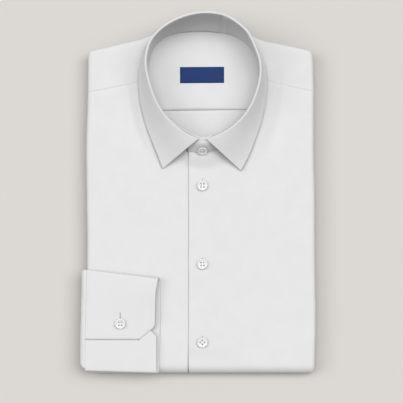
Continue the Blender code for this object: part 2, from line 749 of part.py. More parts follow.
def cuff_share(x):
    """How far x is from the sleeve's end of the cuff (0) to its wrist end (1)."""
    return (x - CUFF_LEFT_X) / (CUFF_WRIST_X - CUFF_LEFT_X)


def cuff_height(x, y):
    """Height of the rolled cuff, which sags from its top fold down to the lap."""
    share = min(max(cuff_share(x), 0.0), 1.0)
    fall = smooth_step(y, *CUFF_FALL_Y)
    return blend(blend(*CUFF_HEIGHT_LOW, share), blend(*CUFF_HEIGHT_TOP, share), fall)


def cuff_left(y):
    """Seam between sleeve and cuff, which leans out towards the bottom edge."""
    return CUFF_LEFT_X - CUFF_LEAN * smooth_step(-y, -CUFF_LEAN_Y[0], -CUFF_LEAN_Y[1])


FOLD_STEPS = 6


def cuff_columns():
    """Layer, y or turn of the fold, and wrist end of each line round the cuff."""
    columns = []
    for index, row in enumerate(CUFF_LINES):
        if "fold" not in row.layer:
            columns.append(row)
            continue
        after = CUFF_LINES[index + 1]
        for step in range(FOLD_STEPS + 1):
            share = step / FOLD_STEPS
            columns.append(CuffRow(row.layer, share, blend(row.wrist_x, after.wrist_x, share)))
    return columns


def make_cuff(surface):
    columns = cuff_columns()
    segments = 7
    fold_y = {"top fold": CUFF_TOP_Y[0], "bottom fold": CUFF_BOTTOM_Y[0]}

    def place(i, j):
        row = columns[i]
        share = j / segments
        line_y = fold_y.get(row.layer, row.y)
        x = blend(cuff_left(line_y), row.wrist_x, share)
        height = cuff_height(x, line_y)
        if row.layer == "top fold":
            radius = height / 2
            angle = pi * row.y
            y = blend(*CUFF_TOP_Y, cuff_share(x)) - radius * (1 - sin(angle))
            return Vector((x, y, CUFF_BASE_Z + radius + radius * cos(angle)))
        if row.layer == "bottom fold":
            radius = (height - CUFF_LAP_STEP) / 2
            angle = pi * row.y
            y = blend(*CUFF_BOTTOM_Y, cuff_share(x)) + radius * (1 - sin(angle))
            return Vector((x, y, CUFF_BASE_Z + radius - radius * cos(angle)))
        rise = {"over": height, "under": 0.0, "lap": height - CUFF_LAP_STEP}[row.layer]
        return Vector((x, row.y, CUFF_BASE_Z + rise))

    mesh = lattice(len(columns) - 1, segments, place)
    add_object("cuff", mesh, surface, wall=CUFF_CLOTH, turn_over=True)


def make_sleeve(surface):
    side_steps = 6
    end_steps = 4
    loop = 2 * (side_steps + end_steps)

    def section(row, i):
        """y and offset from the middle at place i round the flattened tube."""
        radius = row.thickness / 2
        low = row.y_low + radius
        high = row.y_high - radius
        if i < side_steps:
            return blend(low, high, i / side_steps), radius
        i -= side_steps
        if i < end_steps:
            angle = pi * i / end_steps
            return high + radius * sin(angle), radius * cos(angle)
        i -= end_steps
        if i < side_steps:
            return blend(high, low, i / side_steps), -radius
        angle = pi * (i - side_steps) / end_steps
        return low - radius * sin(angle), -radius * cos(angle)

    def place(i, j):
        row = SLEEVE[j]
        y, offset = section(row, i)
        heading = row.heading * pi / 180
        lean = cuff_left(y) - CUFF_LEFT_X
        x = row.x + lean + offset * sin(heading)
        return Vector((x, y, row.z - offset * cos(heading)))

    mesh = lattice(loop, len(SLEEVE) - 1, place, closed=True)
    add_object("sleeve", mesh, surface)


# Hidden layers


def outline_points():
    """Outline of the whole folded shirt, from its bottom left corner clockwise."""
    bottom = BOTTOM_EDGE_Y
    first = bottom + OUTLINE_CORNER_IN
    left_y = [first + step * OUTLINE_SIDE_PITCH for step in range(OUTLINE_SIDE_STEPS)]
    points = [Vector((side_x(-1, y), y)) for y in left_y]
    points += [Vector((row.edge_x, row.edge_y)) for row in YOKE[1:-1]]
    points += [Vector((side_x(1, y), y)) for y in reversed(left_y)]
    steps = 10
    across = [blend(*OUTLINE_BOTTOM_X, step / steps) for step in range(steps + 1)]
    points += [Vector((x, bottom)) for x in across]
    return points


def make_layers(surface):
    outline = outline_points()
    bend_room = BEND_RADIUS - CLOTH - LAP_LIFT - SEAM_GAP

    def place(i, j):
        row = LAYERS[j]
        point = outline[i]
        angle = LAYER_WAVE_STEPS[0] * i + LAYER_WAVE_STEPS[1] * j
        wave = LAYER_WAVE * sin(angle) if row.middle else 0.0
        x = point.x * (1 - (row.side_in + wave) / LAYER_HALF_WIDTH)
        if row.middle:
            bottom = BEND_Y + MIDDLE_END_RISE
        elif row.z >= PLATEAU_Z:
            bottom = PLATEAU_LOW_Y
        else:
            bottom = BEND_Y - sqrt(max(bend_room ** 2 - (row.z - BEND_RADIUS) ** 2, 0.0))
        if point.y < 0.0:
            y = point.y * bottom / BOTTOM_EDGE_Y
        else:
            y = point.y * (1 - (row.top_in + wave) / LAYER_TOP_REACH)
        if row.middle:
            near_left = smooth_step(-point.x, -SLEEVE_ROOM_X[0], -SLEEVE_ROOM_X[1])
            near_sleeve = smooth_step(-point.y, -SLEEVE_ROOM_Y[0], -SLEEVE_ROOM_Y[1])
            x += SLEEVE_ROOM * near_left * near_sleeve
        return Vector((x, y, row.z))

    mesh = lattice(len(outline), len(LAYERS) - 1, place, closed=True)
    add_object("folded_layers", mesh, surface)


# Buttons


def button_mesh(surface):
    """Turned disc with a raised rim, a dished middle and four holes."""
    segments = 24
    radius = BUTTON_DIAMETER / 2
    height = BUTTON_THICKNESS
    profile = (
        (radius - BUTTON_BACK_BEVEL[0], 0.0),
        (radius, BUTTON_BACK_BEVEL[1]),
        (radius, height - BUTTON_FACE_BEVEL[1]),
        (radius - BUTTON_FACE_BEVEL[0], height),
        (radius - BUTTON_RIM_WIDTH, height - BUTTON_RIM_FALL),
        (radius - BUTTON_RIM_WIDTH - BUTTON_DISH_SLOPE, height - BUTTON_DISH_DEPTH),
    )

    def place(i, j):
        angle = 2 * pi * i / segments
        distance, z = profile[j]
        return Vector((distance * cos(angle), distance * sin(angle), z))

    blank = add_object("button_blank", lattice(segments, len(profile) - 1, place, closed=True), surface)
    holes = bmesh.new()
    for x_side in (-1, 1):
        for y_side in (-1, 1):
            made = bmesh.ops.create_cone(holes, cap_ends=True, segments=8,
                                         radius1=BUTTON_HOLE_DIAMETER / 2,
                                         radius2=BUTTON_HOLE_DIAMETER / 2, depth=3 * height)
            offset = Vector((x_side, y_side, 0.0)) * BUTTON_HOLE_SPACING / 2
            bmesh.ops.translate(holes, vec=offset, verts=made["verts"])
    cutter = add_object("button_holes", holes, surface)
    cut = blank.modifiers.new("Holes", "BOOLEAN")
    cut.operation = "DIFFERENCE"
    cut.solver = "EXACT"
    cut.object = cutter
    view = bpy.context.evaluated_depsgraph_get()
    finished = bpy.data.meshes.new_from_object(blank.evaluated_get(view))
    finished.name = "button"
    bpy.data.objects.remove(cutter)
    bpy.data.objects.remove(blank)
    return finished


def add_button(name, mesh, foot, normal=Vector((0, 0, 1)), turn=0.0):
    """Button lying on a cloth point, facing along the normal, turned about its own axis."""
    button = bpy.data.objects.new(name, mesh)
    bpy.context.collection.objects.link(button)
    button.rotation_mode = "QUATERNION"
    button.rotation_quaternion = normal.to_track_quat("Z", "Y") @ Quaternion((0, 0, 1), turn)
    button.location = foot + normal * SEAM_GAP


def make_buttons(surface):
    mesh = button_mesh(surface)
    top = BUNDLE_HEIGHT + LAP_LIFT
    for index, turn in enumerate(FRONT_BUTTON_TURNS):
        y = FRONT_BUTTON_TOP_Y - index * FRONT_BUTTON_PITCH
        foot = Vector((FRONT_BUTTON_X, y, top))
        add_button(f"front_button_{index + 1}", mesh, foot, turn=turn)
    x, y = CUFF_BUTTON_XY
    foot = Vector((x, y, CUFF_BASE_Z + cuff_height(x, y)))
    add_button("cuff_button", mesh, foot, turn=CUFF_BUTTON_TURN)
    position = ring_position(BASE_POINTS, FRONT_BUTTON_X, LAST_STATION - 1, LAST_STATION + 2)
    foot, middle, _, way_out, _ = stand_face(position)
    slope = middle - foot
    across = way_out.cross(Vector((0, 0, 1)))
    normal = slope.cross(across).normalized()
    if normal.z < 0:
        normal = -normal
    add_button("collar_button", mesh, foot.lerp(middle, COLLAR_BUTTON_SHARE), normal)


def main():
    for old in list(bpy.data.objects):
        bpy.data.objects.remove(old)
    poplin = material("white poplin", FABRIC_WHITE, 0.85)
    collar_cloth = material("white collar cloth", FABRIC_WHITE, 0.80)
    woven = material("navy woven label", LABEL_NAVY, 0.75)
    plastic = material("white button", BUTTON_WHITE, 0.30)
    make_layers(poplin)
    make_front("front_right", -1, poplin)
    make_front("front_left", 1, poplin)
    make_yoke(poplin)
    left, right = INNER_SEAM_STATIONS
    neck_plate("inner_yoke", INNER_YOKE_TOP, INNER_YOKE_CLOTH, (left, right), poplin)
    neck_plate("back_panel", BACK_PANEL_TOP, CLOTH, (left, right - LAST_STATION - 1), poplin)
    make_label(woven)
    make_stand(collar_cloth)
    make_leaf(collar_cloth)
    make_cuff(collar_cloth)
    make_sleeve(poplin)
    make_buttons(plastic)


main()
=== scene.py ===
"""Folded white dress shirt: cotton poplin body, fused collar and cuff, sewn-on buttons.

Lengths are metres, +Z is up and +Y points to the collar. Cloth maps are in metres of real cloth.
"""

import logging
from bisect import bisect_right
from dataclasses import dataclass
from enum import Enum
from itertools import accumulate
from math import atan2, ceil, cos, floor, hypot, pi, radians, sin, sqrt
from typing import Callable, NamedTuple, Sequence

import bmesh
import bpy
from mathutils import Matrix, Vector, noise
from mathutils.bvhtree import BVHTree


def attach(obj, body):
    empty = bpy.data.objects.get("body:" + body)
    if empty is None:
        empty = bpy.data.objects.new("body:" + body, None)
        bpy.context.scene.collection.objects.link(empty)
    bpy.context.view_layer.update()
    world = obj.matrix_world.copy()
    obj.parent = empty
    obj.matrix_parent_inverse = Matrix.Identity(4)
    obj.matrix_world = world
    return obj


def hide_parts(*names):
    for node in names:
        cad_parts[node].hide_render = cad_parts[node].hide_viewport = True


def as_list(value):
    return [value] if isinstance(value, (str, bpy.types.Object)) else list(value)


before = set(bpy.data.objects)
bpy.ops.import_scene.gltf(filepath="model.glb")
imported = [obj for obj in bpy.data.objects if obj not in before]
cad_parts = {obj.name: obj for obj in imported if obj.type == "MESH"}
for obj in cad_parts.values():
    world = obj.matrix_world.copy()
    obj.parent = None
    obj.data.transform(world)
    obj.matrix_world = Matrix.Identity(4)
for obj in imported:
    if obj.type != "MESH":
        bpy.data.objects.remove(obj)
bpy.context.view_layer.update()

LOG = logging.getLogger("dress_shirt")

Place = Callable[[int, int], Vector]
Colour = tuple[float, float, float, float]
CLOTH_MAP = "cloth"
SHADER = "Principled BSDF"
BODY = "root"

BUNDLE_TOP = 0.0220
BEND_RADIUS = BUNDLE_TOP / 2
BOTTOM_EDGE_Y = -0.1998
BEND_Y = BOTTOM_EDGE_Y + BEND_RADIUS
BEND_RUN = pi * BEND_RADIUS
SIDE_RADIUS = 0.0045
SIDE_TURN = pi * SIDE_RADIUS
LEG_DEPTH = 2 * SIDE_RADIUS
SIDE_TUCK = 0.0060
SEAM_GAP = 0.0003
LAP_LIFT = 0.0018
PLACKET_EDGE_X = -0.0105
PLACKET_WIDTH = 0.0255
LAP_FADE_END_X = 0.0600
LAP_SINK_START_Y = -0.1680
LAP_SINK_END_Y = -0.1870
# The body's cloth swells beside the leaf, the more the higher the leaf's edge stands there
SWELL = 0.0045
SWELL_WIDTH_LEFT = 0.0135
SWELL_WIDTH_RIGHT = 0.0200
SWELL_EDGE_Z = (0.0245, 0.0288)
SWELL_X = (-0.0920, 0.1020)
SWELL_FROM_Y = 0.0150
SWELL_INSIDE = (0.15, 0.95)
# Shares of a crease's length over which it rises and fades
CREASE_STARTS = (-0.25, 0.30)
CREASE_ENDS = (0.70, 1.25)
CREASE_WANDER = 0.18  # of its width
BELL_REACH = 3.0
RING_NUDGE = 0.05
NECK_EDGE_INSET = 0.0012
# The stand holds the fronts up round the middle of the neck's front
NECK_FRONT_X = 0.0030
NECK_FRONT_Y = 0.0477
NECK_FRONT_CURVE = 9.3
NECK_RISE = 0.0060
RISE_SHARE_UNDER = 0.93
RISE_SHARE_OVER = 0.975
NECK_RISE_LENGTH = 0.0200
NECK_RISE_INSIDE = (-0.0300, -0.0100)
NECK_RISE_SIDE = (0.0060, 0.0500)
# Bottom ends of the hidden layers: those from this height up, and the middle ones
PLATEAU_Z = 0.0179
PLATEAU_LOW_Y = -0.1630
MIDDLE_END_RISE = 0.0010
FRONT_BUTTON_X = 0.0045
FRONT_BUTTON_TOP_Y = 0.0111
FRONT_BUTTON_PITCH = 0.0877
FRONT_BUTTON_TURNS = (0.0, 0.06, pi / 4)
CUFF_BUTTON = (-0.0871, -0.1429)
CUFF_BUTTON_TURN = 0.05
UP = Vector((0.0, 0.0, 1.0))


class SlotName(Enum):
    """The record's material slots."""

    POPLIN = "poplin"
    LABEL = "woven_label"
    BUTTON = "button"


class Held(Enum):
    """How a sewn piece of cloth is held."""

    FOLDED = "folded"
    LAID = "laid"


class SideRow(NamedTuple):
    """Outline of the folded sides at one height up the front."""

    y: float
    left: float
    right: float


SIDES = (
    SideRow(-0.2050, -0.1245, 0.1304),
    SideRow(-0.1900, -0.1247, 0.1306),
    SideRow(-0.1510, -0.1255, 0.1315),
    SideRow(-0.1280, -0.1255, 0.1317),
    SideRow(-0.1060, -0.1252, 0.1312),
    SideRow(-0.0500, -0.1247, 0.1306),
    SideRow(-0.0050, -0.1253, 0.1306),
    SideRow(0.0510, -0.1259, 0.1295),
    SideRow(0.1180, -0.1242, 0.1295),
    SideRow(0.1585, -0.1236, 0.1284),
    SideRow(0.1700, -0.1234, 0.1281),
)


class NeckRow(NamedTuple):
    """One station of the collar: foot of the stand, top of the fold, free edge of the leaf."""

    base: tuple[float, float]
    rim: tuple[float, float, float]
    edge: tuple[float, float, float]


NECK = (
    NeckRow((-0.0010, 0.0477), (-0.0004, 0.0619, 0.0460), (-0.0401, 0.0299, 0.0243)),
    NeckRow((-0.0100, 0.0492), (-0.0083, 0.0650, 0.0467), (-0.0430, 0.0370, 0.0246)),
    NeckRow((-0.0216, 0.0535), (-0.0169, 0.0699, 0.0475), (-0.0463, 0.0460, 0.0256)),
    NeckRow((-0.0362, 0.0633), (-0.0302, 0.0803, 0.0495), (-0.0525, 0.0615, 0.0272)),
    NeckRow((-0.0475, 0.0790), (-0.0421, 0.0950, 0.0515), (-0.0595, 0.0805, 0.0284)),
    NeckRow((-0.0548, 0.1000), (-0.0507, 0.1133, 0.0540), (-0.0650, 0.1040, 0.0290)),
    NeckRow((-0.0582, 0.1240), (-0.0565, 0.1344, 0.0570), (-0.0672, 0.1310, 0.0288)),
    NeckRow((-0.0572, 0.1460), (-0.0575, 0.1500, 0.0590), (-0.0635, 0.1510, 0.0276)),
    NeckRow((-0.0528, 0.1635), (-0.0538, 0.1658, 0.0610), (-0.0576, 0.1678, 0.0260)),
    NeckRow((-0.0438, 0.1750), (-0.0457, 0.1775, 0.0625), (-0.0468, 0.1816, 0.0246)),
    NeckRow((-0.0303, 0.1818), (-0.0325, 0.1880, 0.0635), (-0.0332, 0.1926, 0.0225)),
    NeckRow((-0.0140, 0.1850), (-0.0154, 0.1957, 0.0643), (-0.0159, 0.1992, 0.0212)),
    NeckRow((0.0042, 0.1860), (0.0027, 0.1994, 0.0645), (0.0028, 0.2024, 0.0210)),
    NeckRow((0.0220, 0.1849), (0.0203, 0.1987, 0.0643), (0.0206, 0.2018, 0.0212)),
    NeckRow((0.0360, 0.1824), (0.0335, 0.1944, 0.0640), (0.0341, 0.1980, 0.0218)),
    NeckRow((0.0490, 0.1759), (0.0468, 0.1854, 0.0633), (0.0477, 0.1898, 0.0228)),
    NeckRow((0.0595, 0.1665), (0.0561, 0.1749, 0.0623), (0.0576, 0.1792, 0.0246)),
    NeckRow((0.0670, 0.1525), (0.0656, 0.1535, 0.0602), (0.0703, 0.1555, 0.0258)),
    NeckRow((0.0693, 0.1340), (0.0682, 0.1395, 0.0580), (0.0756, 0.1405, 0.0276)),
    NeckRow((0.0680, 0.1140), (0.0668, 0.1238, 0.0560), (0.0769, 0.1220, 0.0290)),
    NeckRow((0.0628, 0.0925), (0.0604, 0.1041, 0.0530), (0.0745, 0.1005, 0.0292)),
    NeckRow((0.0535, 0.0755), (0.0511, 0.0883, 0.0510), (0.0696, 0.0785, 0.0286)),
    NeckRow((0.0413, 0.0614), (0.0392, 0.0764, 0.0490), (0.0630, 0.0600, 0.0274)),
    NeckRow((0.0278, 0.0535), (0.0272, 0.0684, 0.0477), (0.0570, 0.0450, 0.0260)),
    NeckRow((0.0170, 0.0495), (0.0151, 0.0633, 0.0466), (0.0516, 0.0338, 0.0250)),
    NeckRow((0.0095, 0.0480), (0.0093, 0.0617, 0.0460), (0.0482, 0.0274, 0.0247)),
)
LAST_STATION = len(NECK) - 1
FOOT_RING = [Vector((*row.base, 0.0)) for row in NECK]
RIM_RING = [Vector(row.rim) for row in NECK]
EDGE_RING = [Vector(row.edge) for row in NECK]


class YokeRow(NamedTuple):
    """Outer edge of the yoke: station of the neck it faces, edge point, way out, tuck."""

    station: float
    edge: tuple[float, float]
    way_out: tuple[float, float]
    tuck: float


YOKE = (
    YokeRow(6.15, (-0.1242, 0.1154), (-1.00, 0.00), 0.0060),
    YokeRow(6.45, (-0.1240, 0.1280), (-1.00, 0.00), 0.0060),
    YokeRow(6.80, (-0.1239, 0.1420), (-1.00, 0.03), 0.0060),
    YokeRow(7.10, (-0.1237, 0.1530), (-0.98, 0.15), 0.0045),
    YokeRow(7.25, (-0.1230, 0.1588), (-0.85, 0.50), 0.0025),
    YokeRow(7.40, (-0.1205, 0.1621), (-0.50, 0.85), 0.0025),
    YokeRow(7.60, (-0.1140, 0.1638), (-0.25, 0.97), 0.0045),
    YokeRow(7.85, (-0.1020, 0.1666), (-0.20, 0.98), 0.0060),
    YokeRow(8.15, (-0.0840, 0.1710), (-0.20, 0.98), 0.0060),
    YokeRow(8.60, (-0.0640, 0.1757), (-0.24, 0.97), 0.0060),
    YokeRow(9.40, (-0.0430, 0.1838), (-0.25, 0.97), 0.0060),
    YokeRow(10.60, (-0.0190, 0.1896), (-0.17, 0.98), 0.0060),
    YokeRow(12.00, (0.0050, 0.1920), (0.00, 1.00), 0.0060),
    YokeRow(13.30, (0.0290, 0.1900), (0.17, 0.98), 0.0060),
    YokeRow(14.70, (0.0510, 0.1838), (0.25, 0.97), 0.0060),
    YokeRow(15.70, (0.0710, 0.1745), (0.24, 0.97), 0.0060),
    YokeRow(16.25, (0.0900, 0.1705), (0.20, 0.98), 0.0060),
    YokeRow(16.60, (0.1080, 0.1666), (0.20, 0.98), 0.0060),
    YokeRow(16.85, (0.1190, 0.1640), (0.25, 0.97), 0.0045),
    YokeRow(17.05, (0.1254, 0.1620), (0.50, 0.85), 0.0025),
    YokeRow(17.20, (0.1278, 0.1585), (0.85, 0.50), 0.0025),
    YokeRow(17.35, (0.1286, 0.1528), (0.98, 0.15), 0.0045),
    YokeRow(17.65, (0.1290, 0.1420), (1.00, 0.03), 0.0060),
    YokeRow(17.95, (0.1294, 0.1285), (1.00, 0.00), 0.0060),
    YokeRow(18.25, (0.1295, 0.1160), (1.00, 0.00), 0.0060),
)


class LayerRow(NamedTuple):
    """One level of the hidden layers: how far its sides and its top end stand in."""

    z: float
    side_in: float
    top_in: float
    middle: bool


LAYERS = (
    LayerRow(0.0037, 0.0060, 0.0180, False),
    LayerRow(0.0041, 0.0036, 0.0155, False),
    LayerRow(0.0052, 0.0026, 0.0150, False),
    LayerRow(0.0063, 0.0032, 0.0165, False),
    LayerRow(0.0071, 0.0050, 0.0180, False),
    LayerRow(0.0072, 0.0130, 0.0200, False),
    LayerRow(0.0092, 0.0145, 0.0140, False),
    LayerRow(0.0093, 0.0060, 0.0120, True),
    LayerRow(0.0099, 0.0046, 0.0090, True),
    LayerRow(0.0105, 0.0048, 0.0085, True),
    LayerRow(0.0108, 0.0066, 0.0110, True),
    LayerRow(0.0111, 0.0050, 0.0090, True),
    LayerRow(0.0119, 0.0042, 0.0075, True),
    LayerRow(0.0124, 0.0046, 0.0080, True),
    LayerRow(0.0127, 0.0062, 0.0100, True),
    LayerRow(0.0128, 0.0145, 0.0130, False),
    LayerRow(0.0147, 0.0130, 0.0130, False),
    LayerRow(0.0148, 0.0052, 0.0066, False),
    LayerRow(0.0156, 0.0032, 0.0040, False),
    LayerRow(0.0170, 0.0028, 0.0034, False),
    LayerRow(0.0178, 0.0034, 0.0042, False),
    LayerRow(0.0179, 0.0050, 0.1500, False),
    LayerRow(0.0200, 0.0060, 0.1520, False),
    LayerRow(0.0202, 0.0075, 0.1550, False),
)


class CuffLayer(Enum):
    """Layers and folds of the flattened cuff, in order round its section."""

    OVER = "over"
    TOP_FOLD = "top fold"
    UNDER = "under"
    BOTTOM_FOLD = "bottom fold"
    LAP = "lap"


class CuffRow(NamedTuple):
    """One line along the cuff, counted round its section, and where its wrist end is."""

    layer: CuffLayer
    y: float
    wrist_x: float


class FoldY(NamedTuple):
    """Where a fold of the cuff lies: about its middle, at its sleeve end, at its wrist end."""

    middle: float
    sleeve: float
    wrist: float


class SleeveRow(NamedTuple):
    """One station of the sleeve: middle of its thickness, heading in degrees, size."""

    x: float
    z: float
    heading: float
    thickness: float
    y_high: float
    y_low: float


class BackFold(NamedTuple):
    """A small upright fold in the stand's lining at the back: its x, its width, 1 out or -1 in."""

    x: float
    width: float
    way: int


class Crease(NamedTuple):
    """A soft trough (depth above 0) or ridge (below 0) between two points of the front."""

    start: tuple[float, float]
    end: tuple[float, float]
    width: float
    depth: float


# Soft press marks and drags of the ironed front, uneven in length, depth and spacing
FRONT_CREASES = (
    Crease((-0.112, 0.150), (-0.086, 0.128), 0.0070, 0.00022),
    Crease((-0.106, 0.098), (-0.080, 0.070), 0.0090, 0.00020),
    Crease((-0.100, 0.040), (-0.060, 0.022), 0.0110, 0.00016),
    Crease((-0.052, -0.030), (-0.024, -0.062), 0.0085, 0.00020),
    Crease((-0.118, -0.045), (-0.090, -0.052), 0.0080, -0.00018),
    Crease((0.060, -0.036), (0.088, -0.072), 0.0100, 0.00024),
    Crease((0.072, -0.020), (0.112, -0.058), 0.0120, -0.00020),
    Crease((0.022, -0.100), (0.060, -0.132), 0.0110, 0.00016),
    Crease((0.098, -0.118), (0.122, -0.150), 0.0090, 0.00020),
    Crease((0.050, 0.020), (0.095, 0.012), 0.0120, 0.00015),
    Crease((0.104, 0.098), (0.122, 0.070), 0.0075, 0.00018),
    Crease((0.020, -0.166), (0.110, -0.172), 0.0060, -0.00012),
    Crease((-0.038, -0.104), (-0.020, -0.132), 0.0060, 0.00016),
    Crease((-0.036, -0.150), (-0.018, -0.176), 0.0065, -0.00014),
)

# Creases of the folded-under half, given as x and way round from the bottom edge
UNDER_CREASES = (
    Crease((-0.090, 0.060), (-0.040, 0.110), 0.0090, 0.00030),
    Crease((0.030, 0.050), (0.085, 0.095), 0.0110, 0.00032),
    Crease((-0.070, 0.180), (-0.020, 0.160), 0.0080, 0.00028),
    Crease((0.040, 0.200), (0.100, 0.225), 0.0100, 0.00030),
    Crease((-0.110, 0.240), (-0.075, 0.285), 0.0070, 0.00026),
    Crease((0.020, 0.300), (0.070, 0.280), 0.0085, 0.00024),
)


class Cut(NamedTuple):
    """What a cloth stands for, how it was cut and held, and what it lies on."""

    solid: str
    flat: tuple[float, float]
    rests_on: tuple[str, ...]
    area: float | None = None
    held: Held = Held.FOLDED


LABEL_SIZE = (0.0493, 0.0180)
CUTS = {
    "folded_layers_cloth": Cut("folded_layers", (0.250, 0.380), ("front_left_cloth",)),
    "front_right_cloth": Cut("front_right", (0.160, 0.700), ("folded_layers_cloth",), 0.1025),
    "front_left_cloth": Cut("front_left", (0.162, 0.700), ("front_right_cloth",), 0.1025),
    "yoke_cloth": Cut("yoke", (0.290, 0.094), ("folded_layers_cloth",), 0.0123),
    "inner_yoke_cloth": Cut("inner_yoke", (0.128, 0.092), ("folded_layers_cloth",), 0.0106,
                            Held.LAID),
    "back_panel_cloth": Cut("back_panel", (0.118, 0.053), ("folded_layers_cloth",), 0.0045,
                            Held.LAID),
    "neck_label_tape": Cut("neck_label", LABEL_SIZE, ("inner_yoke_cloth",), held=Held.LAID),
    "collar_stand_cloth": Cut("collar_stand", (0.430, 0.038), ("yoke_cloth", "front_left_cloth"),
                              0.0149),
    "collar_leaf_cloth": Cut("collar_leaf", (0.430, 0.062), ("collar_stand_cloth",), 0.0184),
    "cuff_cloth": Cut("cuff", (0.250, 0.084), ("front_right_cloth",), 0.0203),
    "sleeve_cloth": Cut("sleeve", (0.215, 0.036), ("folded_layers_cloth",)),
}


def clamped(share: float) -> float:
    """A share, kept from 0 to 1."""
    return min(max(share, 0.0), 1.0)


def smooth_step(value: float, start: float, end: float) -> float:
    """Rise from 0 at start to 1 at end, level at both."""
    share = clamped((value - start) / (end - start))
    return share * share * (3 - 2 * share)


def blend(a: float, b: float, share: float) -> float:
    """Value between a and b at a share of the way."""
    return a + (b - a) * share


def bell(offset: float) -> float:
    """Bell curve: 1 at an offset of 0, next to nothing past its reach."""
    return 2.718 ** (-offset * offset)


def steps(start: float, end: float, count: int) -> list[float]:
    """Evenly spaced values from start to end, both included."""
    return [blend(start, end, index / count) for index in range(count + 1)]


def joined_steps(*spans: tuple[float, float, int]) -> list[float]:
    """Values along spans that follow each other, each with its start, end and count."""
    return [spans[0][0]] + [value for span in spans for value in steps(*span)[1:]]


def curve_value(points: Sequence[Vector], position: float) -> Vector:
    """Smooth curve through points at a position counted in points.

    Args:
        points: The points that the curve passes through.
        position: Where on the curve, 0 at the first point.

    Returns:
        The point of the curve there.
    """
    index = min(max(floor(position), 0), len(points) - 2)
    t = position - index
    before, start = points[max(index - 1, 0)], points[index]
    end, after = points[index + 1], points[min(index + 2, len(points) - 1)]
    leave, arrive = (end - before) / 2, (after - start) / 2
    return (start * (2 * t ** 3 - 3 * t ** 2 + 1) + leave * (t ** 3 - 2 * t ** 2 + t)
            + end * (3 * t ** 2 - 2 * t ** 3) + arrive * (t ** 3 - t ** 2))


def side_x(side: int, y: float) -> float:
    """Outermost x of the folded bundle on a side, -1 or 1, at y."""
    for low, high in zip(SIDES, SIDES[1:]):
        if y <= high.y:
            break
    share = smooth_step((y - low.y) / (high.y - low.y), 0.0, 1.0)
    return blend(low.left, high.left, share) if side < 0 else blend(low.right, high.right, share)


def distance_along(point: tuple[float, float], crease: Crease) -> tuple[float, float]:
    """Distance from a crease's line, and the share of the way along it."""
    ax, ay = crease.start
    bx, by = crease.end
    length = hypot(bx - ax, by - ay)
    ux, uy = (bx - ax) / length, (by - ay) / length
    along = (point[0] - ax) * ux + (point[1] - ay) * uy
    across = (point[1] - ay) * ux - (point[0] - ax) * uy
    return across, along / length


def creased(point: tuple[float, float], creases: Sequence[Crease]) -> float:
    """Sum of the creases' depths at a point.

    Args:
        point: Where on the cloth, in the same terms as the creases.
        creases: The troughs and ridges.

    Returns:
        The depth, above 0 in a trough.
    """
    total = 0.0
    for crease in creases:
        across, share = distance_along(point, crease)
        fade = smooth_step(share, *CREASE_STARTS) * (1 - smooth_step(share, *CREASE_ENDS))
        wander = CREASE_WANDER * crease.width * sin(7.0 * share + 31.0 * crease.width)
        offset = (across + wander) / crease.width
        if fade > 0.0 and abs(offset) < BELL_REACH:
            total += crease.depth * fade * bell(offset)
    return total


class Roll(NamedTuple):
    """Soft unevenness of a cloth: the height of its hills, their size and its seed."""

    height: float
    size: float
    seed: float

    def at(self, x: float, y: float) -> float:
        """Height at a place, up to about half of the roll's height above or below 0."""
        return self.height * noise.noise(Vector((x / self.size, y / self.size, self.seed)))


def side_profile(out: float, tuck_depth: float = 0.0) -> tuple[float, float]:
    """Way in from a side's outermost line, and depth, a distance past the flat's end."""
    if out <= SIDE_TURN:
        angle = out / SIDE_RADIUS
        return SIDE_RADIUS * (1 - sin(angle)), SIDE_RADIUS * (1 - cos(angle))
    return SIDE_RADIUS + out - SIDE_TURN, LEG_DEPTH - tuck_depth


def folded(run: float, depth: float) -> tuple[float, float]:
    """y and z of cloth a way down the outside, from y = 0, and a depth inside it."""
    top_end = -BEND_Y
    if run < top_end:
        return -run, BUNDLE_TOP - depth
    if run < top_end + BEND_RUN:
        angle = (run - top_end) / BEND_RADIUS
        radius = BEND_RADIUS - depth
        return BEND_Y - radius * sin(angle), BEND_RADIUS + radius * cos(angle)
    return BEND_Y + run - top_end - BEND_RUN, depth


def ring_value(points: Sequence[Vector], position: float) -> Vector:
    """Point of a neck ring; past the leaf's ends it runs on across the front of the neck."""
    looped = [*points[-2:], *points, *points[:2]]
    return curve_value(looped, position % len(points) + 2)


def outward(points: Sequence[Vector], position: float) -> Vector:
    """Level unit vector away from the neck, square to a ring."""
    along = (ring_value(points, position + RING_NUDGE)
             - ring_value(points, position - RING_NUDGE))
    return Vector((-along.y, along.x, 0.0)).normalized()


def ring_position(points: Sequence[Vector], x: float, low: float, high: float) -> float:
    """Station between low and high where a ring has the given x."""
    rising = ring_value(points, high).x > ring_value(points, low).x
    for _ in range(40):
        middle = (low + high) / 2
        if (ring_value(points, middle).x < x) == rising:
            low = middle
        else:
            high = middle
    return (low + high) / 2


def neckline(position: float) -> Vector:
    """Cut edge of the fronts and the yoke, under the foot of the stand."""
    return ring_value(FOOT_RING, position) - outward(FOOT_RING, position) * NECK_EDGE_INSET


def neck_rise(x: float, y: float) -> float:
    """How far the stand holds the cloth up where it meets the front of the neck."""
    off = abs(x - NECK_FRONT_X)
    way = NECK_FRONT_Y + NECK_FRONT_CURVE * off ** 2 - y
    near = smooth_step(way, *NECK_RISE_INSIDE) * (1 - smooth_step(way, 0.0, NECK_RISE_LENGTH))
    return NECK_RISE * near * (1 - smooth_step(off, *NECK_RISE_SIDE))


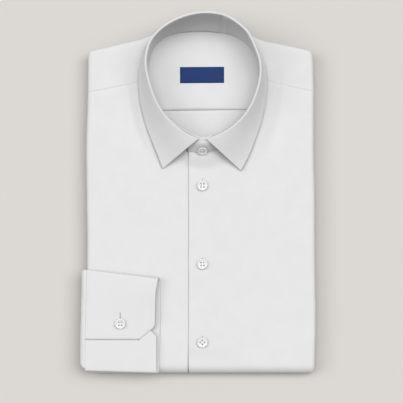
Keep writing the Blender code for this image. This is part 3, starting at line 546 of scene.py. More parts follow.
def collar_swell(x: float, y: float) -> float:
    """Height of the soft swell in the body's cloth along both sides of the turned-down leaf."""
    if not (SWELL_X[0] < x < SWELL_X[1] and y > SWELL_FROM_Y):
        return 0.0
    spot = Vector((x, y, 0.0))
    nearest = (1.0, 0.0, 0.0)
    for index, (near, far) in enumerate(zip(EDGE_RING, EDGE_RING[1:])):
        ax, ay, way_x, way_y = near.x, near.y, far.x - near.x, far.y - near.y
        share = clamped(((x - ax) * way_x + (y - ay) * way_y) / (way_x ** 2 + way_y ** 2))
        distance = hypot(x - ax - way_x * share, y - ay - way_y * share)
        if distance < nearest[0]:
            foot = FOOT_RING[index].lerp(FOOT_RING[index + 1], share)
            edge = near.lerp(far, share)
            inward = Vector((foot.x - edge.x, foot.y - edge.y, 0.0))
            inside = (spot - Vector((edge.x, edge.y, 0.0))).dot(inward) / inward.length_squared
            nearest = (distance, edge.z, inside)
    distance, edge_z, inside = nearest
    held = smooth_step(edge_z, *SWELL_EDGE_Z)
    if inside > 0.0:
        return SWELL * held * (1 - smooth_step(inside, *SWELL_INSIDE))
    width = SWELL_WIDTH_LEFT if x < 0.0 else SWELL_WIDTH_RIGHT
    return SWELL * held * (1 - smooth_step(distance, 0.0, width))


def lap_weight(x: float) -> float:
    """How much of the lap's lift is left at x on the wearer's left front."""
    return 1 - smooth_step(x, PLACKET_EDGE_X + PLACKET_WIDTH, LAP_FADE_END_X)


def linear(colour: str) -> Colour:
    """Linear RGBA of an sRGB hex colour such as #F2F2F3."""
    parts = [int(colour[start:start + 2], 16) / 255 for start in (1, 3, 5)]
    return (*[c / 12.92 if c <= 0.04045 else ((c + 0.055) / 1.055) ** 2.4 for c in parts], 1.0)


def add_node(tree: bpy.types.NodeTree, kind: str, settings: dict[str, object] | None = None,
             **links: object) -> bpy.types.Node:
    """Add a node with its settings, values and links.

    Args:
        tree: The node tree.
        kind: The node's type name.
        settings: Properties of the node itself.
        **links: A value or an output socket for each input, which is called by its name, with _
            for a space, or by i and its number.

    Returns:
        The node.
    """
    node = tree.nodes.new(kind)
    for name, value in (settings or {}).items():
        setattr(node, name, value)
    for name, value in links.items():
        numbered = name.startswith("i") and name[1:].isdigit()
        key = int(name[1:]) if numbered else name.replace("_", " ")
        if isinstance(value, bpy.types.NodeSocket):
            tree.links.new(value, node.inputs[key])
        else:
            node.inputs[key].default_value = value
    return node


def loose_mesh(name: str, mesh: bmesh.types.BMesh) -> bpy.types.Mesh:
    """Mesh data of a bmesh, which is freed."""
    data = bpy.data.meshes.new(name)
    mesh.to_mesh(data)
    mesh.free()
    return data


def stand_in_scene(name: str, data: bpy.types.ID) -> bpy.types.Object:
    """New object that holds the data, linked to the scene."""
    thing = bpy.data.objects.new(name, data)
    bpy.context.scene.collection.objects.link(thing)
    return thing


def lattice(columns: int, rows: int, place: Place, closed: bool = False,
            capped: bool = True) -> bmesh.types.BMesh:
    """Grid of cloth with its corner (i, j) moved to place(i, j), and its map in metres.

    Args:
        columns: Steps across.
        rows: Steps along.
        place: The position of corner (i, j).
        closed: Whether the first and the last column are joined.
        capped: Whether the ends of a closed one are filled.

    Returns:
        The mesh, with its own cloth map.
    """
    mesh = bmesh.new()
    bmesh.ops.create_grid(mesh, x_segments=columns, y_segments=rows, size=1.0)
    index = {vert: (round((vert.co.x + 1) / 2 * columns), round((vert.co.y + 1) / 2 * rows))
             for vert in mesh.verts}
    spots = {key: place(key[0] % columns if closed else key[0], key[1]) for key in index.values()}
    across, along = [0.0], [0.0]
    for i in range(columns):
        across.append(across[-1] + (spots[i + 1, rows // 2] - spots[i, rows // 2]).length)
    for j in range(rows):
        along.append(along[-1] + (spots[columns // 2, j + 1] - spots[columns // 2, j]).length)
    cloth_map = mesh.loops.layers.uv.new(CLOTH_MAP)
    for face in mesh.faces:
        for loop in face.loops:
            i, j = index[loop.vert]
            loop[cloth_map].uv = (across[i], along[j])
    for vert, key in index.items():
        vert.co = spots[key]
    if closed:
        bmesh.ops.remove_doubles(mesh, verts=mesh.verts, dist=1e-7)
        if capped:
            ends = [edge for edge in mesh.edges if edge.is_boundary]
            bmesh.ops.holes_fill(mesh, edges=ends, sides=0)
        bmesh.ops.recalc_face_normals(mesh, faces=mesh.faces)
    return mesh


def start_surface(name: str, **values: object) -> bpy.types.Material:
    """Start a material.

    Args:
        name: Its name.
        **values: Inputs of its shader, with _ for a space in the name.

    Returns:
        The material.
    """
    surface = bpy.data.materials.new(name)
    surface.use_nodes = True
    shader = surface.node_tree.nodes[SHADER]
    for key, value in values.items():
        shader.inputs[key.replace("_", " ")].default_value = value
    return surface


def dress_surface(tree: bpy.types.NodeTree, share: bpy.types.NodeSocket, tones: Sequence[Colour],
                  height: bpy.types.NodeSocket, strength: float, depth: float) -> None:
    """Give a shader a colour between two tones and a relief.

    Args:
        tree: The material's node tree.
        share: How far the colour is from the first tone to the second.
        tones: The two tones.
        height: The height of the relief.
        strength: How much of the relief shows.
        depth: The relief's depth, in metres.
    """
    colour = add_node(tree, "ShaderNodeMix", {"data_type": "RGBA"}, i0=share, i6=tones[0],
                      i7=tones[1])
    bump = add_node(tree, "ShaderNodeBump", Strength=strength, Distance=depth, Height=height)
    shader = tree.nodes[SHADER]
    tree.links.new(colour.outputs[2], shader.inputs["Base Color"])
    tree.links.new(bump.outputs["Normal"], shader.inputs["Normal"])


def wave_scale(spacing: float) -> float:
    """Scale at which the bands of a wave texture lie this far apart."""
    return 2 * pi / 20 / spacing


def cloth_place(tree: bpy.types.NodeTree) -> bpy.types.NodeSocket:
    """Place on the cloth, in metres, from the piece's own map."""
    return add_node(tree, "ShaderNodeUVMap", {"uv_map": CLOTH_MAP}).outputs["UV"]


def object_place(tree: bpy.types.NodeTree) -> bpy.types.NodeSocket:
    """Place in the piece's own space, in metres."""
    return add_node(tree, "ShaderNodeTexCoord").outputs["Object"]


@dataclass(frozen=True)
class Poplin:
    """White cotton poplin, plain weave, washed and ironed.

    A tight plain weave gives an even matt white with a faint bloom at grazing angles.
    """

    name: str
    light: str = "#E6E6E6"
    shade: str = "#E3E3E3"
    thread_spacing: float = 0.0005  # real 0.22 mm, drawn coarser so that it shows
    weave_depth: float = 0.00004
    roughness: float = 0.86

    def build(self) -> bpy.types.Material:
        """Make the material; its weave follows the cloth map, in metres.

        Returns:
            The material.
        """
        surface = start_surface(self.name, Roughness=self.roughness, Sheen_Weight=0.12,
                                Sheen_Roughness=0.45, Specular_IOR_Level=0.25)
        tree = surface.node_tree
        spot = cloth_place(tree)
        warp, weft = (add_node(tree, "ShaderNodeTexWave", {"bands_direction": way}, Vector=spot,
                               Scale=wave_scale(self.thread_spacing), Distortion=0.35,
                               Detail=1.0, Detail_Scale=0.4) for way in "XY")
        weave = add_node(tree, "ShaderNodeMath", {"operation": "MULTIPLY"},
                         i0=warp.outputs["Fac"], i1=weft.outputs["Fac"])
        slub = add_node(tree, "ShaderNodeTexNoise", Vector=object_place(tree), Scale=55.0,
                        Detail=4.0, Roughness=0.6)
        tint = add_node(tree, "ShaderNodeMapRange", Value=slub.outputs["Fac"], From_Min=0.3,
                        From_Max=0.7)
        dress_surface(tree, tint.outputs["Result"], (linear(self.shade), linear(self.light)),
                      weave.outputs["Value"], 0.35, self.weave_depth)
        return surface


@dataclass(frozen=True)
class WovenTape:
    """Navy polyester damask label, woven with fine ribs across, with painted shade in their
    grooves.
    """

    name: str
    light: str = "#12397A"
    shade: str = "#0B2A5E"
    rib_spacing: float = 0.0006  # real 0.25 mm, drawn coarser so that it shows
    rib_depth: float = 0.00008

    def build(self) -> bpy.types.Material:
        """Make the material.

        Returns:
            The material.
        """
        surface = start_surface(self.name, Roughness=0.60, Sheen_Weight=0.05,
                                Specular_IOR_Level=0.25)
        tree = surface.node_tree
        spot, bands = cloth_place(tree), wave_scale(self.rib_spacing)
        ribs = add_node(tree, "ShaderNodeTexWave", {"bands_direction": "X"}, Vector=spot,
                        Scale=bands, Distortion=0.2)
        cross = add_node(tree, "ShaderNodeTexWave", {"bands_direction": "DIAGONAL"}, Vector=spot,
                         Scale=bands * 0.7, Distortion=0.3)
        height = add_node(tree, "ShaderNodeMath", {"operation": "ADD"},
                          i0=ribs.outputs["Fac"], i1=cross.outputs["Fac"])
        # The shade tone falls in the low parts of the ribs: painted shade in their grooves.
        tint = add_node(tree, "ShaderNodeMapRange", Value=height.outputs["Value"], From_Min=0.2,
                        From_Max=1.8)
        dress_surface(tree, tint.outputs["Result"], (linear(self.shade), linear(self.light)),
                      height.outputs["Value"], 0.5, self.rib_depth)
        return surface


@dataclass(frozen=True)
class CastResin:
    """White polyester button, cast and tumbled: glossy, with a faint cloud in the white."""

    name: str
    light: str = "#F6F6F5"
    shade: str = "#E9E9E7"
    tumble_depth: float = 0.00002

    def build(self) -> bpy.types.Material:
        """Make the material.

        Returns:
            The material.
        """
        surface = start_surface(self.name, Roughness=0.28, IOR=1.54, Coat_Weight=0.25,
                                Coat_Roughness=0.12)
        tree = surface.node_tree
        place = object_place(tree)
        cloud = add_node(tree, "ShaderNodeTexNoise", Vector=place, Scale=260.0, Detail=3.0,
                         Distortion=0.8)
        tumble = add_node(tree, "ShaderNodeTexNoise", Vector=place, Scale=900.0, Detail=2.0)
        dress_surface(tree, cloud.outputs["Fac"], (linear(self.shade), linear(self.light)),
                      tumble.outputs["Fac"], 0.1, self.tumble_depth)
        return surface


@dataclass(frozen=True)
class SewingThread:
    """Mercerised cotton thread: twisted plies with a soft shine, and painted shade in the grooves
    between them.
    """

    name: str
    tone: str = "#EFEFF0"
    ply_groove_shade: float = 0.9
    ply_spacing: float = 0.0006  # real 0.3 mm twist, drawn coarser so that it shows
    ply_depth: float = 0.00005

    def build(self) -> bpy.types.Material:
        """Make the material.

        Returns:
            The material.
        """
        surface = start_surface(self.name, Roughness=0.6, Sheen_Weight=0.15)
        tree = surface.node_tree
        twist = add_node(tree, "ShaderNodeTexWave", {"bands_direction": "DIAGONAL"},
                         Vector=object_place(tree), Scale=wave_scale(self.ply_spacing))
        light = linear(self.tone)
        # The twist's grooves take a darker copy of the thread's tone: painted shade.
        groove = (*[self.ply_groove_shade * part for part in light[:3]], 1.0)
        dress_surface(tree, twist.outputs["Fac"], (groove, light), twist.outputs["Fac"], 0.4,
                      self.ply_depth)
        return surface


@dataclass(frozen=True)
class SlitShadeStrip:
    """Strip of painted shade for a buttonhole: a flat grey line that stands in for the shade down
    its open cut.
    """

    name: str
    tone: str = "#7A7A78"

    def build(self) -> bpy.types.Material:
        """Make the material.

        Returns:
            The material.
        """
        return start_surface(self.name, Roughness=0.95, Specular_IOR_Level=0.1,
                             Base_Color=linear(self.tone))


@dataclass(frozen=True)
class Finishes:
    """The materials of the shirt, one of each."""

    poplin: bpy.types.Material
    fused: bpy.types.Material
    label: bpy.types.Material
    button: bpy.types.Material
    thread: bpy.types.Material
    slit_shade: bpy.types.Material

    @staticmethod
    def build() -> "Finishes":
        """Make every finish.

        Returns:
            The materials.
        """
        return Finishes(
            poplin=Poplin("white poplin").build(),
            fused=Poplin("fused poplin", light="#E5E5E5", shade="#E3E3E3", roughness=0.80).build(),
            label=WovenTape("navy damask label").build(),
            button=CastResin("white cast resin").build(),
            thread=SewingThread("white cotton thread").build(),
            # grey strip of painted shade down each buttonhole's open cut
            slit_shade=SlitShadeStrip("painted shade of the open cut").build(),
        )


def finish_piece(name: str, mesh: bmesh.types.BMesh, surface: bpy.types.Material, slot: SlotName,
                 wall: float | None = None, turn_over: bool = False,
                 sharp_angle: float = 50.0, even_wall: bool = True) -> bpy.types.Object:
    """Turn a bmesh into a riding piece with its material and, if asked, a cloth's thickness.

    Args:
        name: The piece's name.
        mesh: Its mesh, which is freed.
        surface: Its material.
        slot: Not used.
        wall: The cloth's thickness, laid behind its faces.
        turn_over: Whether the faces are turned first.
        sharp_angle: Edges sharper than this stay sharp, in degrees.
        even_wall: Whether the wall keeps its thickness round tight turns.

    Returns:
        The piece.
    """
    if turn_over:
        bmesh.ops.reverse_faces(mesh, faces=mesh.faces)
    data = loose_mesh(name, mesh)
    data.materials.append(surface)
    data.shade_smooth()
    piece = stand_in_scene(name, data)
    if wall:
        thicken = piece.modifiers.new("Cloth", "SOLIDIFY")
        thicken.thickness = wall
        thicken.offset = -1.0
        thicken.use_even_offset = even_wall
        thicken.use_quality_normals = True
    data.set_sharp_from_angle(angle=radians(sharp_angle))
    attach(piece, BODY)
    LOG.info("%s: %d faces", name, len(data.polygons))
    return piece


def thread_tube(mesh: bmesh.types.BMesh, line: Sequence[Vector], radius: float, sides: int) -> None:
    """Add a round thread along a line, with closed ends.

    Args:
        mesh: The mesh that it is added to.
        line: Points along the thread's middle.
        radius: Its radius.
        sides: Corners round its section.
    """
    rings = []
    guide = Vector((0.0, 0.0, 1.0))
    for index, spot in enumerate(line):
        way = (line[min(index + 1, len(line) - 1)] - line[max(index - 1, 0)]).normalized()
        if abs(way.dot(guide)) > 0.95:
            guide = Vector((1.0, 0.0, 0.0)) if abs(way.x) < 0.9 else Vector((0.0, 1.0, 0.0))
        side = way.cross(guide).normalized()
        guide = side.cross(way).normalized()
        rings.append([mesh.verts.new(spot + (side * cos(angle) + guide * sin(angle)) * radius)
                      for angle in steps(0.0, 2 * pi, sides)[:-1]])
    for near, far in zip(rings, rings[1:]):
        for k in range(sides):
            mesh.faces.new((near[k], near[(k + 1) % sides], far[(k + 1) % sides], far[k]))
    mesh.faces.new(list(reversed(rings[0])))
    mesh.faces.new(rings[-1])


@dataclass
class ShirtFronts:
    """The two fronts, folded in at the sides and under at the bottom edge, one over the other."""

    shell: float = 0.0010
    flat_steps: int = 64
    flat_power: float = 1.15
    # Shares across the right front, and the columns between, close under the left one's edge
    under_spans: tuple[tuple[float, float, int], ...] = (
        (0.0, 0.15, 8), (0.15, 0.25, 20), (0.25, 1.0, 44))
    turn_steps: int = 10
    neck_steps: int = 30
    rise_steps: int = 16
    strip_steps: int = 12
    bend_steps: int = 18
    leg_step: float = 0.0034
    tail_step: float = 1.7  # times the step of the leg
    neck_end_run: float = 0.010
    rise_margin: float = 0.002
    strip_end_run: float = 0.035
    hem_width: float = 0.0070
    hem_slope: float = 0.0008
    hem_depth: float = 0.00030
    tail_side_y: float = 0.1470
    tail_middle_y: float = 0.1600
    bow_length: float = 0.12
    roll_steps: int = 3
    edge_roll: float = 0.0009
    edge_roll_in: float = 0.35
    roll_runs: tuple[float, float] = (-0.030, -0.020)  # the roll leans in below the neck only
    step_width: float = 0.0022
    step_end: float = 0.0007
    seam_under: float = 0.0030
    seam_dip: float = 0.0012
    # No relief at the side turns, nor next to the bottom bend, above or under it
    flat_margins: tuple[float, float] = (0.004, 0.002)
    quiet_bend: tuple[float, float] = (0.004, 0.024)
    quiet_under: tuple[float, float] = (0.004, 0.020)
    hills: Roll = Roll(0.00030, 0.065, 1.0)
    ripples: Roll = Roll(0.00010, 0.021, 2.0)
    hills_under: Roll = Roll(0.00022, 0.07, 4.0)

    def neck_run(self, side: int, inner_x: float) -> list[tuple[Vector, float]]:
        """Inner edge point and way down at the side, for the rows along the neck."""
        corner = YOKE[0] if side < 0 else YOKE[-1]
        low, high = (LAST_STATION - 2, LAST_STATION + 3) if side > 0 else (-3, 2)
        centre = ring_position(FOOT_RING, inner_x, low, high)
        side_top = corner.edge[1] - SEAM_GAP
        rows = [(neckline(blend(corner.station, centre, share)),
                 -blend(side_top, -self.neck_end_run, share))
                for share in steps(0.0, 1.0, self.neck_steps)]
        beneath = Vector((0.0, self.seam_under, 0.0))
        return [(rows[0][0] + beneath, rows[0][1] - self.seam_under), *rows]

    def rows(self, side: int, inner_x: float) -> list[tuple[Vector, float]]:
        """Inner edge point and way down at the side for every row, from the yoke to the tail.

        Args:
            side: -1 for the wearer's right front, 1 for the left.
            inner_x: Where its inner edge lies below the neck.

        Returns:
            One pair for each row.
        """
        rows = self.neck_run(side, inner_x)
        neck_y = rows[-1][0].y
        top_end = -BEND_Y
        bend_end = top_end + BEND_RUN
        tail_run = bend_end - BEND_Y + self.tail_side_y
        strip_end = self.strip_end_run
        strip = neck_y + strip_end
        rise_end = NECK_RISE_LENGTH + self.rise_margin
        drops = joined_steps((0.0, rise_end, self.rise_steps), (rise_end, strip, self.strip_steps))
        rows += [(Vector((inner_x, neck_y - drop, 0.0)),
                  blend(self.neck_end_run, strip_end, drop / strip)) for drop in drops[1:-1]]
        runs = joined_steps(
            (strip_end, top_end, round((top_end - strip_end) / self.leg_step)),
            (top_end, bend_end, self.bend_steps),
            (bend_end, tail_run, round((tail_run - bend_end) / (self.tail_step * self.leg_step))))
        rows += [(Vector((inner_x, min(-run, neck_y), 0.0)), run) for run in runs]
        return rows

    def relief(self, x: float, run: float, hidden: bool) -> float:
        """Depth of creases and soft rolling at a place of a front, above 0 inwards."""
        if hidden:
            way = run + BEND_Y - BEND_RUN
            soft = self.hills_under.at(x, way) + self.hills_under.height / 2
            return (max(soft + creased((x, way), UNDER_CREASES), 0.0)
                    * smooth_step(way, *self.quiet_under))
        start, end = self.quiet_bend
        soft = self.hills.at(x, -run) + self.ripples.at(x, -run)
        return ((soft + creased((x, -run), FRONT_CREASES))
                * smooth_step(-run, BEND_Y + start, BEND_Y + end))

    def front(self, name: str, side: int, finishes: Finishes) -> bpy.types.Object:
        """Build one front.

        Args:
            name: The piece's name.
            side: -1 for the wearer's right front, which lies under, 1 for the left.
            finishes: The shirt's materials.

        Returns:
            The piece.
        """
        lapping = side > 0
        inner_x = PLACKET_EDGE_X if lapping else PLACKET_EDGE_X + PLACKET_WIDTH
        rows = self.rows(side, inner_x)
        lead = self.roll_steps if lapping else 0
        shares = [share ** self.flat_power for share in steps(0.0, 1.0, self.flat_steps)]
        if not lapping:
            shares = joined_steps(*self.under_spans)
        outs = joined_steps((0.0, SIDE_TURN, self.turn_steps),
                            (SIDE_TURN, SIDE_TURN + SIDE_TUCK, 2))[1:]
        tail_run = rows[-1][1]
        under_from = -BEND_Y + BEND_RUN

        def place(i: int, j: int) -> Vector:
            """Position of corner (i, j) of the front."""
            inner, side_run = rows[j]
            edge_x = side_x(side, folded(side_run, 0.0)[0])
            depth = 0.0
            if i < lead + len(shares):
                share = shares[max(i - lead, 0)]
                x = blend(inner.x, edge_x - side * SIDE_RADIUS, share)
                inner_run = side_run if side_run > -BEND_Y else -inner.y
                run = blend(inner_run, side_run, share)
                if lapping and i < lead:
                    angle = (lead - i) / lead * pi / 2
                    depth += self.edge_roll * (1 - cos(angle))
                    leant = self.edge_roll_in * smooth_step(side_run, *self.roll_runs)
                    x -= self.edge_roll * sin(angle) * leant
            else:
                inset, depth = side_profile(outs[i - lead - len(shares)])
                x = edge_x - side * inset
                run = side_run
            if side_run > under_from:
                bow = (self.tail_middle_y - self.tail_side_y) * (1 - (x / edge_x) ** 2)
                run += bow * smooth_step(side_run, tail_run - self.bow_length, tail_run)
            y_outer = folded(run, 0.0)[0]
            sink = 1.0
            if run < -BEND_Y:
                sink = smooth_step(-y_outer, -LAP_SINK_START_Y, -LAP_SINK_END_Y)
            if lapping:
                lift = LAP_LIFT * lap_weight(max(x, PLACKET_EDGE_X))
                depth -= lift * (1 - sink)
            else:
                near = smooth_step(x, PLACKET_EDGE_X - self.step_width,
                                   PLACKET_EDGE_X - self.step_end)
                depth += LAP_LIFT * sink * near
            if run < -BEND_Y:
                held = RISE_SHARE_OVER if lapping else RISE_SHARE_UNDER
                depth -= neck_rise(x, y_outer) * held + collar_swell(x, y_outer)
            depth += self.seam_dip if j == 0 else 0.0
            start, end = self.flat_margins
            flat = 1 - smooth_step(abs(x), abs(edge_x) - SIDE_RADIUS - start, abs(edge_x) - end)
            depth += flat * self.relief(x, run, run > under_from)
            if run > under_from:
                hem_y = BEND_Y + tail_run - under_from + bow - self.hem_width
                depth += self.hem_depth * (1 - smooth_step(folded(run, 0.0)[0],
                                                           hem_y - self.hem_slope, hem_y))
            y, z = folded(run, depth)
            return Vector((x, y, z))

        mesh = lattice(lead + len(shares) + len(outs) - 1, len(rows) - 1, place)
        return finish_piece(name, mesh, finishes.poplin, SlotName.POPLIN, wall=self.shell,
                            turn_over=lapping)

    def build(self, finishes: Finishes) -> list[bpy.types.Object]:
        """Build both fronts in place of their solids.

        Args:
            finishes: The shirt's materials.

        Returns:
            The two pieces.
        """
        return [self.front("front_right_cloth", -1, finishes),
                self.front("front_left_cloth", 1, finishes)]


@dataclass
class Yoke:
    """Split back yoke, brought over the shoulders to the front seams."""

    shell: float = 0.0010
    columns: int = 144
    flat_steps: int = 32
    turn_steps: int = 10
    seam_roll: float = 0.0007
    quiet_share: float = 0.15
    hills: Roll = Roll(0.00028, 0.05, 7.0)

    def build(self, finishes: Finishes) -> bpy.types.Object:
        """Build the yoke in place of its solid.

        Args:
            finishes: The shirt's materials.

        Returns:
            The piece.
        """
        edge = [Vector((*row.edge, row.station)) for row in YOKE]
        ways = [Vector((*row.way_out, row.tuck)) for row in YOKE]
        flats = steps(0.0, 1.0, self.flat_steps)
        turns = steps(0.0, SIDE_TURN, self.turn_steps)[1:]
        last = len(YOKE) - 1

        def place(i: int, j: int) -> Vector:
            """Position of corner (i, j) of the yoke."""
            spot = blend(0.0, last, i / self.columns)
            point = curve_value(edge, spot)
            way = curve_value(ways, spot)
            away = Vector((way.x, way.y, 0.0)).normalized()
            neck = neckline(point.z)
            end_run = min(i, self.columns - i)
            neck.z = 0.0
            outer = Vector((point.x, point.y, 0.0))
            drop = self.seam_roll if end_run == 0 else 0.0
            if j < len(flats):
                spot_xy = neck.lerp(outer - away * SIDE_RADIUS, flats[j])
                relief = self.hills.at(*spot_xy.xy) + creased(tuple(spot_xy.xy), FRONT_CREASES)
                quiet = smooth_step(min(flats[j], 1 - flats[j]), 0.0, self.quiet_share)
                z = BUNDLE_TOP - drop - relief * quiet + collar_swell(*spot_xy.xy)
                return Vector((spot_xy.x, spot_xy.y, z))
            out = turns[j - len(flats)] if j < len(flats) + len(turns) else SIDE_TURN + way.z
            inset, depth = side_profile(out)
            spot_xy = outer - away * inset
            z = BUNDLE_TOP - depth - drop * (1 - depth / LEG_DEPTH)
            return Vector((spot_xy.x, spot_xy.y, z))

        mesh = lattice(self.columns, len(flats) + len(turns), place)
        return finish_piece("yoke_cloth", mesh, finishes.poplin, SlotName.POPLIN, wall=self.shell)


@dataclass
class NeckInside:
    """What shows down the neck: the inside of the yoke, the back below it and the label."""

    top_z: float = 0.0202
    back_drop: float = 0.0006
    cover: float = 0.0025
    seam_under: float = 0.0030
    seam_dip: float = 0.0006
    seam_roll: float = 0.0004
    shell: float = 0.0010
    seam_left_y: float = 0.0948
    seam_right_y: float = 0.0962
    first_station: float = 4.75
    last_station: float = 19.83
    columns: int = 60
    rows: int = 24
    end_lean: float = 0.0015
    quiet_shares: tuple[float, float] = (0.3, 0.8)
    hills: Roll = Roll(0.0003, 0.03, 11.0)
    label_thickness: float = 0.0008
    label_centre: tuple[float, float] = (0.0041, 0.1351)
    label_turn: float = 0.006
    label_steps: tuple[int, int] = (48, 18)
    label_wall: float = 0.0005
    label_edge: tuple[float, float] = (-0.0004, 0.0009)
    groove: tuple[float, float, float] = (0.0016, 0.0006, 0.00012)  # way in, width, depth
    label_hills: Roll = Roll(0.00012, 0.012, 3.0)

    def plate(self, name: str, top_z: float, stations: tuple[float, float],
              finishes: Finishes) -> bpy.types.Object:
        """Cloth between the inner seam and the neck ring from one station to another."""
        left, right = stations
        above = right > left
        sign = 1 if above else -1
        left_x = ring_value(FOOT_RING, left).x - self.cover
        right_x = ring_value(FOOT_RING, right).x + self.cover

        def place(i: int, j: int) -> Vector:
            """Position of corner (i, j) of the plate."""
            share = i / self.columns
            station = blend(left, right, share)
            ring = ring_value(FOOT_RING, station) + outward(FOOT_RING, station) * self.cover
            seam_y = blend(self.seam_left_y, self.seam_right_y, share)
            beneath = not above and j == 0
            seam_y += self.seam_under if beneath else 0.0
            seam = Vector((blend(left_x, right_x, share), seam_y, 0.0))
            end = min(share, 1 - share)
            reach = j / self.rows
            spot = seam.lerp(ring, reach)
            if end == 0.0:
                spot = Vector((seam.x, seam_y + sign * self.end_lean * reach, 0.0))
            near, far = self.quiet_shares
            relief = self.hills.at(*spot.xy) * smooth_step(reach, 0.0, near)
            relief *= 1 - smooth_step(reach, far, 1.0)
            roll = self.seam_roll if above and j == 0 else 0.0
            roll = self.seam_dip if beneath else roll
            return Vector((spot.x, spot.y, top_z - roll - abs(relief)))

        mesh = lattice(self.columns, self.rows, place)
        return finish_piece(name, mesh, finishes.poplin, SlotName.POPLIN, wall=self.shell,
                            turn_over=not above)

    def label(self, finishes: Finishes) -> bpy.types.Object:
        """Plain woven label with its ends turned under and soft edges."""
        width, height = LABEL_SIZE
        turned = Matrix.Rotation(self.label_turn, 4, "Z")
        centre = Vector((*self.label_centre, self.top_z + SEAM_GAP))
        columns, rows = self.label_steps
        groove_at, groove_width, groove_depth = self.groove

        def place(i: int, j: int) -> Vector:
            """Position of corner (i, j) of the label."""
            u, v = i / columns - 0.5, j / rows - 0.5
            rim = min(0.5 - abs(u), (0.5 - abs(v)) * height / width) * width
            lift = self.label_thickness * smooth_step(rim, *self.label_edge)
            lift -= groove_depth * (1 - smooth_step(abs(rim - groove_at), 0.0, groove_width))
            swell = self.label_hills.at(u * width, v * height)
            return turned @ Vector((u * width, v * height, lift + swell)) + centre

        mesh = lattice(columns, rows, place)
        return finish_piece("neck_label_tape", mesh, finishes.label, SlotName.LABEL,
                            wall=self.label_wall)

    def build(self, finishes: Finishes) -> list[bpy.types.Object]:
        """Build the pieces seen down the neck in place of their solids.

        Args:
            finishes: The shirt's materials.

        Returns:
            The three pieces.
        """
        inner = self.plate("inner_yoke_cloth", self.top_z, (self.first_station, self.last_station),
                           finishes)
        behind = (self.first_station, self.last_station - LAST_STATION - 1)
        back = self.plate("back_panel_cloth", self.top_z - self.back_drop, behind, finishes)
        return [inner, back, self.label(finishes)]


